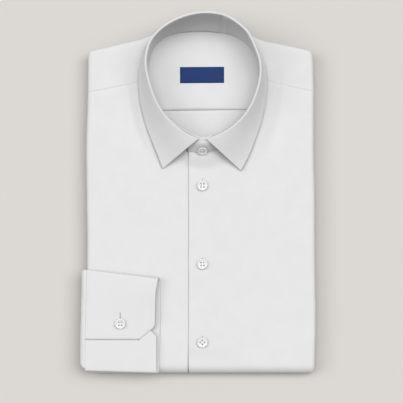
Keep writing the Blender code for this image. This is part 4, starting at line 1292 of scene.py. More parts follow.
@dataclass
class Collar:
    """Fused collar: a stand that stands round the neck and a leaf turned down over it."""

    foot_z: float = BUNDLE_TOP + SEAM_GAP
    stand_cloth: float = 0.0013
    leaf_cloth: float = 0.0009
    solid_leaf_cloth: float = 0.0011
    solid_stand_cloth: float = 0.0015
    rim_radius: float = 0.0014
    rim_leg: float = 0.0012
    end_stations: float = 4.0
    inset_stations: tuple[float, float] = (1.3, 4.0)  # the right end lies in under the left
    lap_rise_xs: tuple[float, float] = (-0.022, -0.014)
    lap_droop: float = 0.0022
    steepest: float = 1.45
    least_reach: float = 0.0005
    leave_end: float = 0.45
    arrive_side: float = 0.86
    arrive_end: float = 0.70
    front_middle: tuple[float, float] = (0.62, 0.84)
    side_middle: tuple[float, float] = (0.56, 0.44)
    lap_right_x: float = 0.0175
    lap_left_x: float = -0.0118
    rise: int = 14
    top_flatness: float = 0.8
    ripple_size: tuple[float, float] = (0.01, 0.02)  # metres for a station and for the rise
    button_share: float = 0.38
    neck_cover: float = 0.00135
    cover_share: float = 0.6
    seam_swell: float = 0.0006
    seam_swell_share: float = 0.22
    back_ys: tuple[float, float] = (0.150, 0.170)  # the lining's small folds begin here
    back_fold_depth: float = 0.00045
    back_folds: tuple[BackFold, ...] = (
        BackFold(0.022, 0.0022, 1), BackFold(0.031, 0.0018, 1), BackFold(0.0265, 0.002, -1))
    tuck_lean: float = 0.0002
    tuck_shares: tuple[float, ...] = (0.35, 0.7, 0.95)
    least_tuck: float = 0.00005
    floor_ys: tuple[float, float] = (0.0925, 0.0945)  # from the back panel to the yoke
    lapped_stations: tuple[float, float] = (1.4, 0.9)  # before the last, where the tuck ends
    yoke_floor_z: float = 0.02028
    back_floor_z: float = 0.01968
    stations: int = 240
    leaf_columns: int = 200
    roll_steps: int = 8
    leave_steps: int = 6
    fall_steps: int = 26
    beside: float = 0.02
    hills: Roll = Roll(0.0003, 0.02, 5.0)

    def end_weight(self, position: float) -> float:
        """1 at the leaf's front ends and between them, falling to 0 a few stations in."""
        return 1 - smooth_step(min(position, LAST_STATION - position), 0.0, self.end_stations)

    def stand_face(self, position: float) -> tuple[Vector, Vector, Vector, Vector, Vector]:
        """Foot, middle and top of the stand's outer face, and the ways out at foot and top."""
        under = self.solid_stand_cloth + SEAM_GAP
        inset = under * (1 - smooth_step(position, *self.inset_stations))
        foot_out, top_out = outward(FOOT_RING, position), outward(RIM_RING, position)
        foot = ring_value(FOOT_RING, position) - foot_out * inset
        lapping = smooth_step(foot.x, *self.lap_rise_xs)
        foot.z = self.foot_z + LAP_LIFT * lap_weight(foot.x) * lapping
        foot.z += neck_rise(foot.x, foot.y)
        rim = ring_value(RIM_RING, position)
        top = rim - top_out * (inset + self.rim_radius - self.solid_leaf_cloth)
        droop = self.lap_droop * smooth_step(position, LAST_STATION, LAST_STATION + 2)
        top.z = rim.z - self.rim_radius - self.rim_leg - SEAM_GAP - droop
        front = self.end_weight(position)
        middle = foot.lerp(top, blend(self.side_middle[0], self.front_middle[0], front))
        middle.z = blend(foot.z, top.z, blend(self.side_middle[1], self.front_middle[1], front))
        return foot, middle, top, foot_out, top_out

    def button_seat(self, x: float) -> tuple[Vector, Vector]:
        """Foot and facing of the collar's button at x on the front of the stand."""
        position = ring_position(FOOT_RING, x, LAST_STATION - 1, LAST_STATION + 2)
        foot, middle, _, way_out, _ = self.stand_face(position)
        normal = (middle - foot).cross(way_out.cross(UP)).normalized()
        normal = -normal if normal.z < 0 else normal
        return foot.lerp(middle, self.button_share) + normal * SEAM_GAP, normal

    def tuck_depth(self, position: float, foot: Vector) -> float:
        """How far the stand's inner cloth runs down inside the cut neck edge."""
        floor_z = blend(self.back_floor_z, self.yoke_floor_z,
                        smooth_step(foot.y, *self.floor_ys))
        start, end = self.lapped_stations
        alone = 1 - smooth_step(position, LAST_STATION - start, LAST_STATION - end)
        return blend(self.least_tuck, foot.z - floor_z, alone)

    def stand_section(self, position: float) -> list[Vector]:
        """Points round the stand: outer face, rolled top edge, inner face, tucked lower edge.

        Args:
            position: The station along the neck.

        Returns:
            The points, from the outer foot up and over to the inner foot.
        """
        foot, middle, top, foot_out, top_out = self.stand_face(position)
        face = [curve_value([foot, middle, top], share * 2) for share in steps(0.0, 1.0, self.rise)]
        half = self.stand_cloth / 2
        points = list(face)
        for turn in (pi / 4, pi / 2, 3 * pi / 4):
            points.append(top - top_out * half * (1 - cos(turn))
                          + UP * half * self.top_flatness * sin(turn))
        for index in range(self.rise, -1, -1):
            share = index / self.rise
            spot = face[index]
            folds = sum(fold.way * bell((spot.x - fold.x) / fold.width) for fold in self.back_folds)
            ripple = smooth_step(spot.y, *self.back_ys) * self.back_fold_depth * folds
            ripple += self.hills.at(position * self.ripple_size[0], share * self.ripple_size[1])
            ripple += self.seam_swell * (1 - smooth_step(share, 0.0, self.seam_swell_share))
            points.append(spot - foot_out.lerp(top_out, share) * (self.stand_cloth + ripple))
        tuck = self.tuck_depth(position, foot)
        inner = points[-1]
        points += [inner - foot_out * self.tuck_lean * share - UP * tuck * share
                   for share in self.tuck_shares]
        hidden = foot - foot_out * self.neck_cover
        points.append(hidden.lerp(inner, self.cover_share) - UP * tuck)
        return points + [hidden - UP * tuck * share for share in (1.0, 0.5, 0.0)]

    def stand(self, finishes: Finishes) -> bpy.types.Object:
        """Stand round the neck, its right end under its left at the front."""
        start = ring_position(FOOT_RING, self.lap_right_x, -3, 0)
        end = ring_position(FOOT_RING, self.lap_left_x, LAST_STATION, LAST_STATION + 3)
        sections = [self.stand_section(position) for position in steps(start, end, self.stations)]
        mesh = lattice(len(sections[0]), self.stations, lambda i, j: sections[j][i], closed=True)
        return finish_piece("collar_stand_cloth", mesh, finishes.fused, SlotName.POPLIN)

    def leaf_section(self, position: float) -> list[Vector]:
        """Points of the leaf's outer face from its seam, over the fold, to its free edge."""
        rim = ring_value(RIM_RING, position)
        edge = curve_value(EDGE_RING, position)
        end = self.end_weight(position)
        level = Vector((edge.x - rim.x, edge.y - rim.y, 0.0))
        out = outward(RIM_RING, position).lerp(level.normalized(), end).normalized()
        centre = rim - UP * self.rim_radius
        fall = rim.z - edge.z - self.rim_radius
        slope = min(atan2(fall, max(level.length - self.rim_radius, self.least_reach)),
                    self.steepest)
        leave_slope = slope * blend(1.0, self.leave_end, end)
        points = [centre - out * self.rim_radius - UP * self.rim_leg]
        angles = [radians(value) for value in steps(-90, 0, self.roll_steps)]
        angles += steps(0.0, leave_slope, self.leave_steps)[1:]
        points += [centre + (out * sin(angle) + UP * cos(angle)) * self.rim_radius
                   for angle in angles]
        start = points[-1]
        chord = edge - start
        way = Vector((chord.x, chord.y, 0.0)).normalized()
        flare = slope * blend(self.arrive_side, self.arrive_end, end)
        leave = start + (out * cos(leave_slope) - UP * sin(leave_slope)) * chord.length / 3
        arrive = edge - (way * cos(flare) - UP * sin(flare)) * chord.length / 3
        for t in steps(0.0, 1.0, self.fall_steps)[1:]:
            points.append(start * (1 - t) ** 3 + leave * 3 * t * (1 - t) ** 2
                          + arrive * 3 * t ** 2 * (1 - t) + edge * t ** 3)
        return points

    def leaf_seat(self, position: float, inset: float) -> tuple[Vector, Vector]:
        """Spot on the leaf's outer face, a way in from its free edge, and its facing.

        Args:
            position: The station along the neck.
            inset: How far in from the free edge, along the cloth.

        Returns:
            The spot and the unit normal there.
        """
        section = self.leaf_section(position)[::-1]
        beside = self.leaf_section(position + self.beside)[::-1]
        left = inset
        for index in range(len(section) - 1):
            part = section[index + 1] - section[index]
            if part.length >= left:
                break
            left -= part.length
        share = min(left / part.length, 1.0)
        spot = section[index].lerp(section[index + 1], share)
        along = beside[index].lerp(beside[index + 1], share) - spot
        normal = along.cross(part).normalized()
        return spot, -normal if normal.z < 0 else normal

    def leaf(self, finishes: Finishes) -> bpy.types.Object:
        """Leaf turned down over the stand, with its two points at the front."""
        sections = [self.leaf_section(position)
                    for position in steps(0.0, LAST_STATION, self.leaf_columns)]
        mesh = lattice(self.leaf_columns, len(sections[0]) - 1, lambda i, j: sections[i][j])
        return finish_piece("collar_leaf_cloth", mesh, finishes.fused, SlotName.POPLIN,
                            wall=self.leaf_cloth)

    def build(self, finishes: Finishes) -> list[bpy.types.Object]:
        """Build the collar in place of its solids.

        Args:
            finishes: The shirt's materials.

        Returns:
            The stand and the leaf.
        """
        return [self.stand(finishes), self.leaf(finishes)]


FOLD_YS = {
    CuffLayer.TOP_FOLD: FoldY(-0.083, -0.0826, -0.0917),
    CuffLayer.BOTTOM_FOLD: FoldY(-0.197, -0.1962, -0.1985),
}


@dataclass
class CuffAndSleeve:
    """Buttoned barrel cuff on the front, and the sleeve that runs round the side to it."""

    base_z: float = BUNDLE_TOP + SEAM_GAP
    cloth: float = 0.0010
    lap_gap: float = 0.0002
    height_top: tuple[float, float] = (0.0060, 0.0100)
    height_low: tuple[float, float] = (0.0060, 0.0070)
    height_falls: tuple[float, float] = (-0.1480, -0.1000)
    left_x: float = -0.1248
    wrist_x: float = -0.0450
    seam_lean: float = 0.0018
    seam_lean_ys: tuple[float, float] = (0.085, 0.175)
    edge_roll: float = 0.0008
    edge_roll_width: float = 0.0016
    corner: tuple[tuple[float, float], ...] = ((-0.0499, -0.1475), (-0.0662, -0.1612))
    segments: int = 80
    fold_steps: int = 14
    column_gap: float = 0.0018
    side_steps: int = 50
    end_steps: int = 8
    sleeve_steps: int = 48
    sleeve_wall: float = 0.0008
    pucker_size: float = 0.01  # metres for a station
    pucker_spots: tuple[float, float, float, float] = (2.0, 3.5, 5.2, 6.5)  # rises, then fades
    quiet_share: float = 0.08
    hills: Roll = Roll(0.00012, 0.03, 6.0)
    pucker: Roll = Roll(0.00035, 0.011, 9.0)
    lines: tuple[CuffRow, ...] = (
        CuffRow(CuffLayer.OVER, -0.1612, -0.0662),
        CuffRow(CuffLayer.OVER, -0.1590, -0.0632),
        CuffRow(CuffLayer.OVER, -0.1475, -0.0499),
        CuffRow(CuffLayer.OVER, -0.1440, -0.0485),
        CuffRow(CuffLayer.OVER, -0.1246, -0.0481),
        CuffRow(CuffLayer.OVER, -0.1080, -0.0476),
        CuffRow(CuffLayer.TOP_FOLD, -0.0955, -0.0456),
        CuffRow(CuffLayer.UNDER, -0.1250, -0.0424),
        CuffRow(CuffLayer.UNDER, -0.1550, -0.0428),
        CuffRow(CuffLayer.BOTTOM_FOLD, -0.1900, -0.0440),
        CuffRow(CuffLayer.LAP, -0.1750, -0.0468),
        CuffRow(CuffLayer.LAP, -0.1570, -0.0468),
        CuffRow(CuffLayer.LAP, -0.1510, -0.0530),
        CuffRow(CuffLayer.LAP, -0.1400, -0.0640),
        CuffRow(CuffLayer.LAP, -0.1320, -0.0650),
    )
    stations: tuple[SleeveRow, ...] = (
        SleeveRow(-0.1125, 0.0110, 180, 0.0028, -0.0880, -0.1880),
        SleeveRow(-0.1235, 0.0110, 180, 0.0028, -0.0865, -0.1895),
        SleeveRow(-0.1272, 0.0125, 135, 0.0032, -0.0855, -0.1875),
        SleeveRow(-0.1283, 0.0165, 92, 0.0042, -0.0845, -0.1885),
        SleeveRow(-0.1284, 0.0205, 85, 0.0048, -0.0835, -0.1895),
        SleeveRow(-0.1276, 0.0236, 50, 0.0056, -0.0828, -0.1912),
        SleeveRow(-0.1258, 0.0252, 0, 0.0054, -0.0829, -0.1935),
        SleeveRow(-0.1238, 0.0252, 0, 0.0036, -0.0838, -0.1925),
    )

    def height(self, x: float, y: float) -> float:
        """Height of the flattened cuff, rolled higher at its top fold and at the wrist."""
        share = clamped((x - self.left_x) / (self.wrist_x - self.left_x))
        rolled = smooth_step(y, *self.height_falls)
        return blend(blend(*self.height_low, share), blend(*self.height_top, share), rolled)

    def seam_x(self, y: float) -> float:
        """Seam between sleeve and cuff, which leans out towards the bottom edge."""
        return self.left_x - self.seam_lean * smooth_step(-y, *self.seam_lean_ys)

    def columns(self) -> list[CuffRow]:
        """Lines round the cuff, close together, with the turn in place of y on the folds."""
        found: list[CuffRow] = []
        for index, row in enumerate(self.lines):
            if row.layer in FOLD_YS:
                after = self.lines[index + 1]
                found += [CuffRow(row.layer, share, blend(row.wrist_x, after.wrist_x, share))
                          for share in steps(0.0, 1.0, self.fold_steps)]
                continue
            found.append(row)
            if index + 1 < len(self.lines) and self.lines[index + 1].layer == row.layer:
                after = self.lines[index + 1]
                count = max(1, round(abs(after.y - row.y) / self.column_gap))
                found += [CuffRow(row.layer, blend(row.y, after.y, share),
                                  blend(row.wrist_x, after.wrist_x, share))
                          for share in steps(0.0, 1.0, count)[1:-1]]
        return found

    def edge_distance(self, x: float, y: float) -> float:
        """Distance from the lapping layer's cut edge and from the cut across its corner."""
        (corner_x, corner_y), (end_x, end_y) = self.corner
        length = hypot(end_x - corner_x, end_y - corner_y)
        across = (y - corner_y) * (end_x - corner_x) - (x - corner_x) * (end_y - corner_y)
        return min(y - self.lines[0].y, abs(across / length))

    def cuff(self, finishes: Finishes) -> bpy.types.Object:
        """Cuff round its two folds, its pointed end lapping over the other."""
        columns = self.columns()

        def place(i: int, j: int) -> Vector:
            """Position of corner (i, j) of the cuff."""
            row = columns[i]
            fold = FOLD_YS.get(row.layer)
            folded_y = fold.middle if fold else row.y
            x = blend(self.seam_x(folded_y), row.wrist_x, j / self.segments)
            height = self.height(x, folded_y)
            lap_step = self.cloth + self.lap_gap
            if fold is not None:
                way = 1 if row.layer is CuffLayer.TOP_FOLD else -1
                radius = (height - (0.0 if way > 0 else lap_step)) / 2
                across = (x - self.left_x) / (self.wrist_x - self.left_x)
                y = blend(fold.sleeve, fold.wrist, across) - way * radius * (1 - sin(pi * row.y))
                return Vector((x, y, self.base_z + radius + way * radius * cos(pi * row.y)))
            if row.layer is CuffLayer.UNDER:
                return Vector((x, row.y, self.base_z))
            rise = height - lap_step
            if row.layer is CuffLayer.OVER:
                edge = smooth_step(self.edge_distance(x, row.y), 0.0, self.edge_roll_width)
                rise = height - self.edge_roll * (1 - edge) + self.hills.at(x, row.y)
            return Vector((x, row.y, self.base_z + rise))

        mesh = lattice(len(columns) - 1, self.segments, place)
        return finish_piece("cuff_cloth", mesh, finishes.fused, SlotName.POPLIN, wall=self.cloth,
                            turn_over=True)

    def sleeve(self, finishes: Finishes) -> bpy.types.Object:
        """Flattened end of the sleeve, from between the layers up round the side to the cuff."""
        side_steps, end_steps = self.side_steps, self.end_steps
        line = [Vector((row.x, row.z, row.heading)) for row in self.stations]
        size = [Vector((row.thickness, row.y_high, row.y_low)) for row in self.stations]

        def place(i: int, j: int) -> Vector:
            """Position of corner (i, j) of the sleeve."""
            spot = j / self.sleeve_steps * (len(self.stations) - 1)
            middle, extent = curve_value(line, spot), curve_value(size, spot)
            radius = extent.x / 2
            low, high = extent.z + radius, extent.y - radius
            part = i % (side_steps + end_steps)
            back = -1 if i >= side_steps + end_steps else 1
            if part < side_steps:
                share = part / side_steps if back > 0 else 1 - part / side_steps
                y, offset = blend(low, high, share), back * radius
                inner = smooth_step(min(share, 1 - share), 0.0, self.quiet_share)
            else:
                angle = pi * (part - side_steps) / end_steps
                centre = high if back > 0 else low
                y, offset = centre + back * radius * sin(angle), back * radius * cos(angle)
                inner = 0.0
            pucker = (self.pucker.at(y, spot * self.pucker_size)
                      * smooth_step(spot, *self.pucker_spots[:2]))
            offset += pucker * (1 - smooth_step(spot, *self.pucker_spots[2:])) * back * inner
            heading = radians(middle.z)
            lean = self.seam_x(y) - self.left_x
            return Vector((middle.x + lean + offset * sin(heading), y,
                           middle.y - offset * cos(heading)))

        mesh = lattice(2 * (side_steps + end_steps), self.sleeve_steps, place, closed=True,
                       capped=False)
        return finish_piece("sleeve_cloth", mesh, finishes.poplin, SlotName.POPLIN,
                            wall=self.sleeve_wall, even_wall=False)

    def build(self, finishes: Finishes) -> list[bpy.types.Object]:
        """Build the cuff and the sleeve in place of their solids.

        Args:
            finishes: The shirt's materials.

        Returns:
            The two pieces.
        """
        return [self.cuff(finishes), self.sleeve(finishes)]


@dataclass
class HiddenLayers:
    """Folded back, sides and sleeves between the two legs, whose edges show at the sides."""

    outline_steps: int = 260
    level_steps: int = 4
    side_spots: int = 8
    side_start: float = 0.004
    side_spacing: float = 0.0394
    bottom_xs: tuple[float, float] = (0.127, -0.121)
    bottom_steps: int = 10
    bend_room: float = 0.0015
    half_width: float = 0.128
    top_y: float = 0.190
    wave: float = 0.0006
    wave_turns: tuple[float, float] = (2.1, 1.7)  # radians for a spot and for a level
    # The middle layers stand in where the sleeve comes out between them
    sleeve_inset: float = 0.0135
    sleeve_xs: tuple[float, float] = (0.09, 0.12)
    sleeve_ys: tuple[float, float] = (0.068, 0.080)

    def outline(self) -> list[Vector]:
        """Outline of the whole folded shirt, from its bottom left corner clockwise."""
        left_y = [BOTTOM_EDGE_Y + self.side_start + step * self.side_spacing
                  for step in range(self.side_spots)]
        points = [Vector((side_x(-1, y), y, 0.0)) for y in left_y]
        points += [Vector((*row.edge, 0.0)) for row in YOKE[1:-1]]
        points += [Vector((side_x(1, y), y, 0.0)) for y in reversed(left_y)]
        points += [Vector((x, BOTTOM_EDGE_Y, 0.0))
                   for x in steps(*self.bottom_xs, self.bottom_steps)]
        return points

    def build(self, finishes: Finishes) -> bpy.types.Object:
        """Build the hidden layers in place of their solid.

        Args:
            finishes: The shirt's materials.

        Returns:
            The piece.
        """
        outline = self.outline()
        looped = [outline[-1], *outline, *outline[:2]]
        room = BEND_RADIUS - self.bend_room - LAP_LIFT - SEAM_GAP
        levels = [Vector((row.z, row.side_in, row.top_in)) for row in LAYERS]
        rows = self.level_steps * (len(LAYERS) - 1)

        def place(i: int, j: int) -> Vector:
            """Position of corner (i, j) of the layers."""
            level = j / self.level_steps
            row = LAYERS[min(round(level), len(LAYERS) - 1)]
            low = min(floor(level), len(LAYERS) - 2)
            values = levels[low].lerp(levels[low + 1], smooth_step(level - low, 0.0, 1.0))
            spot = i / self.outline_steps * len(outline)
            point = curve_value(looped, spot + 1)
            along, up = self.wave_turns
            wave = self.wave * sin(along * spot + up * round(level)) if row.middle else 0.0
            x = point.x * (1 - (values.y + wave) / self.half_width)
            if row.middle:
                bottom = BEND_Y + MIDDLE_END_RISE
            elif row.z >= PLATEAU_Z:
                bottom = PLATEAU_LOW_Y
            else:
                bottom = BEND_Y - sqrt(max(room ** 2 - (values.x - BEND_RADIUS) ** 2, 0.0))
            if point.y < 0.0:
                y = point.y * bottom / BOTTOM_EDGE_Y
            else:
                y = point.y * (1 - (values.z + wave) / self.top_y)
            if row.middle:
                x += (self.sleeve_inset * smooth_step(-point.x, *self.sleeve_xs)
                      * smooth_step(-point.y, *self.sleeve_ys))
            return Vector((x, y, values.x))

        mesh = lattice(self.outline_steps, rows, place, closed=True)
        return finish_piece("folded_layers_cloth", mesh, finishes.poplin, SlotName.POPLIN)


class ButtonSpot(NamedTuple):
    """Where a button is sewn: its solid, the middle of its foot, its facing and its turn."""

    node: str
    foot: Vector
    normal: Vector
    turn: float


@dataclass
class Buttons:
    """Four-hole shirt buttons, turned and dished, each on a thread shank."""

    radius: float = 0.0057
    height: float = 0.0027
    shank: float = 0.0009
    hole_radius: float = 0.0010
    hole_spacing: float = 0.0031
    segments: int = 72
    drill_segments: int = 28
    rim_soften: float = 0.00016
    strand_radius: float = 0.00022
    strand_offsets: tuple[float, ...] = (-0.00032, 0.0, 0.00032)
    strand_reach: float = 1.02
    strand_z: float = 0.0020
    strand_arch: float = 0.00042
    strand_dip: float = 0.0007
    coil_turns: int = 4
    coil_radius: float = 0.0013
    coil_thread: float = 0.00016
    coil_from_z: float = -0.00015
    core_radius: float = 0.00125
    profile: tuple[tuple[float, float], ...] = (
        (0.0, 0.00090), (0.0030, 0.00092), (0.0044, 0.00104), (0.0052, 0.00136),
        (0.0056, 0.00176), (0.0057, 0.00206), (0.00562, 0.00240), (0.0054, 0.00262),
        (0.0051, 0.0027), (0.0047, 0.00266), (0.0043, 0.00246), (0.0039, 0.00222),
        (0.0034, 0.00206), (0.0026, 0.00200), (0.0, 0.00198),
    )

    def blank(self) -> bpy.types.Object:
        """Turned disc before its holes are drilled."""
        mesh = bmesh.new()
        spine = [mesh.verts.new((distance, 0.0, z)) for distance, z in self.profile]
        edges = [mesh.edges.new(pair) for pair in zip(spine, spine[1:])]
        bmesh.ops.spin(mesh, geom=[*spine, *edges], cent=(0, 0, 0), axis=(0, 0, 1), angle=2 * pi,
                       steps=self.segments)
        bmesh.ops.remove_doubles(mesh, verts=mesh.verts, dist=1e-6)
        bmesh.ops.recalc_face_normals(mesh, faces=mesh.faces)
        return stand_in_scene("button blank", loose_mesh("button blank", mesh))

    def holes(self) -> list[Vector]:
        """Middles of the four holes."""
        half = self.hole_spacing / 2
        return [Vector((x * half, y * half, 0.0)) for x in (-1, 1) for y in (-1, 1)]

    def disc(self) -> bpy.types.Mesh:
        """Drilled disc, its holes softened at the rim by countersinks."""
        blank = self.blank()
        drills = bmesh.new()
        for middle in self.holes():
            bmesh.ops.create_cone(drills, cap_ends=True, segments=self.drill_segments,
                                  radius1=self.hole_radius, radius2=self.hole_radius,
                                  depth=4 * self.height, matrix=Matrix.Translation(middle))
        tool = stand_in_scene("button drills", loose_mesh("button drills", drills))
        cut = blank.modifiers.new("Holes", "BOOLEAN")
        cut.operation, cut.solver, cut.object = "DIFFERENCE", "EXACT", tool
        soften = blank.modifiers.new("Soft holes", "BEVEL")
        soften.width, soften.segments = self.rim_soften, 2
        soften.limit_method, soften.angle_limit = "ANGLE", radians(50)
        soften.use_clamp_overlap = True
        view = bpy.context.evaluated_depsgraph_get()
        drilled = bpy.data.meshes.new_from_object(blank.evaluated_get(view))
        drilled.name = "button"
        for helper in (tool, blank):
            bpy.data.objects.remove(helper)
        return drilled

    def strands(self) -> bmesh.types.BMesh:
        """Thread from hole to hole on the face, and the wound shank under the button."""
        mesh = bmesh.new()
        half = self.hole_spacing / 2
        for side in (-1, 1):
            for offset in self.strand_offsets:
                line = []
                for turn in steps(-pi / 2, pi / 2, 14):
                    arch = self.strand_z + self.strand_arch * cos(turn) ** 0.5
                    line.append(Vector((side * half + offset, half * self.strand_reach * sin(turn),
                                        arch - self.strand_dip * abs(sin(turn)) ** 6)))
                thread_tube(mesh, line, self.strand_radius, 8)
        wound = 2 * pi * self.coil_turns
        coil = [Vector((self.coil_radius * cos(angle), self.coil_radius * sin(angle),
                        blend(self.coil_from_z, self.shank + 0.0001, angle / wound)))
                for angle in steps(0.0, wound, 20 * self.coil_turns)]
        thread_tube(mesh, coil, self.coil_thread, 6)
        bmesh.ops.create_cone(mesh, cap_ends=True, segments=20, radius1=self.core_radius,
                              radius2=self.core_radius, depth=self.shank + 0.0004,
                              matrix=Matrix.Translation((0.0, 0.0, self.shank / 2)))
        return mesh

    def build(self, spots: Sequence[ButtonSpot], finishes: Finishes) -> list[bpy.types.Object]:
        """Sew on every button in place of its solid.

        Args:
            spots: Where the buttons are sewn.
            finishes: The shirt's materials.

        Returns:
            The buttons and their threads.
        """
        disc = self.disc()
        sewn = []
        for spot in spots:
            facing = spot.normal.to_track_quat("Z", "Y").to_matrix().to_4x4()
            placed = (Matrix.Translation(spot.foot) @ facing
                      @ Matrix.Rotation(spot.turn, 4, "Z"))
            body = bmesh.new()
            body.from_mesh(disc)
            bmesh.ops.transform(body, matrix=placed, verts=body.verts)
            button = finish_piece(f"{spot.node}_disc", body, finishes.button, SlotName.BUTTON,
                                  sharp_angle=40.0)
            thread = self.strands()
            bmesh.ops.transform(thread, matrix=placed, verts=thread.verts)
            strands = finish_piece(f"{spot.node}_thread", thread, finishes.thread, SlotName.POPLIN)
            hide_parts(spot.node)
            sewn += [button, strands]
        bpy.data.meshes.remove(disc)
        return sewn


@dataclass(frozen=True)
class Seat:
    """A spot on the cloth's outer face, and the way that the face looks there."""

    spot: Vector
    normal: Vector


def seats_near(piece: bpy.types.Object, spots: Sequence[Vector]) -> list[Seat]:
    """Move spots to the nearest places on a piece's faces."""
    tree = BVHTree.FromObject(piece, bpy.context.evaluated_depsgraph_get())
    return [Seat(*tree.find_nearest(spot)[:2]) for spot in spots]


def seats_on_top(piece: bpy.types.Object, line: Sequence[tuple[float, float]],
                 gap: float) -> list[Seat]:
    """Lay a line, given from above, on the upper face of a piece.

    Args:
        piece: The piece that it is laid on.
        line: Corners of the line, in x and y.
        gap: The longest distance between two seats.

    Returns:
        Seats along the line, those that miss the piece left out.
    """
    tree = BVHTree.FromObject(piece, bpy.context.evaluated_depsgraph_get())
    seats = []
    for (ax, ay), (bx, by) in zip(line, line[1:]):
        count = max(1, ceil(hypot(bx - ax, by - ay) / gap))
        for share in steps(0.0, 1.0, count)[:-1]:
            start = Vector((blend(ax, bx, share), blend(ay, by, share), 0.2))
            spot, normal, _, _ = tree.ray_cast(start, -UP)
            if spot is not None:
                seats.append(Seat(spot, normal))
    return seats


@dataclass
class SeatLine:
    """A row of seats on one cloth, and how far along the row each of them is."""

    seats: Sequence[Seat]

    def __post_init__(self) -> None:
        """Measure the row."""
        gaps = [(after.spot - before.spot).length
                for before, after in zip(self.seats, self.seats[1:])]
        self.reach = [0.0, *accumulate(gaps)]

    def seat(self, distance: float) -> Seat:
        """Seat at a distance along the row."""
        index = min(max(bisect_right(self.reach, distance) - 1, 0), len(self.seats) - 2)
        gap = max(self.reach[index + 1] - self.reach[index], 1e-9)
        share = clamped((distance - self.reach[index]) / gap)
        here, there = self.seats[index], self.seats[index + 1]
        return Seat(here.spot.lerp(there.spot, share),
                    here.normal.lerp(there.normal, share).normalized())


@dataclass
class Topstitching:
    """Lockstitch in white thread, laid on the cloth along its edges and seams."""

    pitch: float = 0.0025  # real 1.6 mm, drawn coarser so that it shows
    length: float = 0.0019
    radius: float = 0.00017
    sides: int = 5
    margin: float = 0.0050
    leaf_depth: float = 0.0400
    seam_margin: float = 0.0016
    seat_gap: float = 0.0012
    end_seats: int = 22
    edge_seats: int = 240
    search_step: float = 0.02
    profile: tuple[tuple[float, float], ...] = (
        (0.0, -0.00022), (0.14, 0.00002), (0.5, 0.00010), (0.86, 0.00002), (1.0, -0.00022))
    cuff_lines: tuple[tuple[tuple[float, float], ...], ...] = (
        ((-0.1215, -0.0868), (-0.0505, -0.0952), (-0.0522, -0.1240), (-0.0532, -0.1440)),
        ((-0.0532, -0.1440), (-0.0665, -0.1560), (-0.1220, -0.1560)),
        ((-0.1222, -0.0880), (-0.1238, -0.1540)))

    def sew(self, name: str, lines: Sequence[Sequence[Seat]],
            finishes: Finishes) -> bpy.types.Object:
        """Sew along lines of seats.

        Args:
            name: The piece's name.
            lines: The lines, each a row of seats on one cloth.
            finishes: The shirt's materials.

        Returns:
            The stitches.
        """
        mesh = bmesh.new()
        for row in map(SeatLine, lines):
            for index in range(floor(row.reach[-1] / self.pitch)):
                stitch = []
                for share, height in self.profile:
                    seat = row.seat(index * self.pitch + share * self.length)
                    stitch.append(seat.spot + seat.normal * height)
                thread_tube(mesh, stitch, self.radius, self.sides)
        return finish_piece(name, mesh, finishes.thread, SlotName.POPLIN)

    def inside_end(self, collar: Collar, end: int, inset: float) -> float:
        """Station that is the margin away from one of the leaf's front ends."""
        way = self.search_step if end == 0 else -self.search_step
        edge = collar.leaf_seat(end, inset)[0]
        position = end + way
        while (collar.leaf_seat(position, inset)[0] - edge).length < self.margin:
            position += way
        return position

    def leaf_line(self, collar: Collar) -> list[Seat]:
        """Line round the leaf, inside its two front ends and its free edge."""
        insets = steps(self.margin, self.leaf_depth, self.end_seats)
        ends = [[Seat(*collar.leaf_seat(self.inside_end(collar, end, inset), inset))
                 for inset in insets] for end in (0, LAST_STATION)]
        first, last = (self.inside_end(collar, end, self.margin) for end in (0, LAST_STATION))
        middle = [Seat(*collar.leaf_seat(position, self.margin))
                  for position in steps(first, last, self.edge_seats)]
        return ends[0][::-1] + middle[1:-1] + ends[1]

    def build(self, cloths: dict[str, bpy.types.Object],
              finishes: Finishes) -> list[bpy.types.Object]:
        """Sew the collar's leaf, the cuff and the yoke's front seams.

        Args:
            cloths: The pieces that are sewn, by name.
            finishes: The shirt's materials.

        Returns:
            The stitches, one piece for each cloth.
        """
        cuff = [seats_on_top(cloths["cuff_cloth"], line, self.seat_gap)
                for line in self.cuff_lines]
        seams = []
        for row in (YOKE[0], YOKE[-1]):
            neck = neckline(row.station)
            corners = [(x, y + self.seam_margin) for x, y in (neck.xy, row.edge)]
            seams.append(seats_on_top(cloths["yoke_cloth"], corners, self.seat_gap))
        return [self.sew("collar_leaf_stitches", [self.leaf_line(Collar())], finishes),
                self.sew("cuff_stitches", cuff, finishes),
                self.sew("yoke_stitches", seams, finishes)]


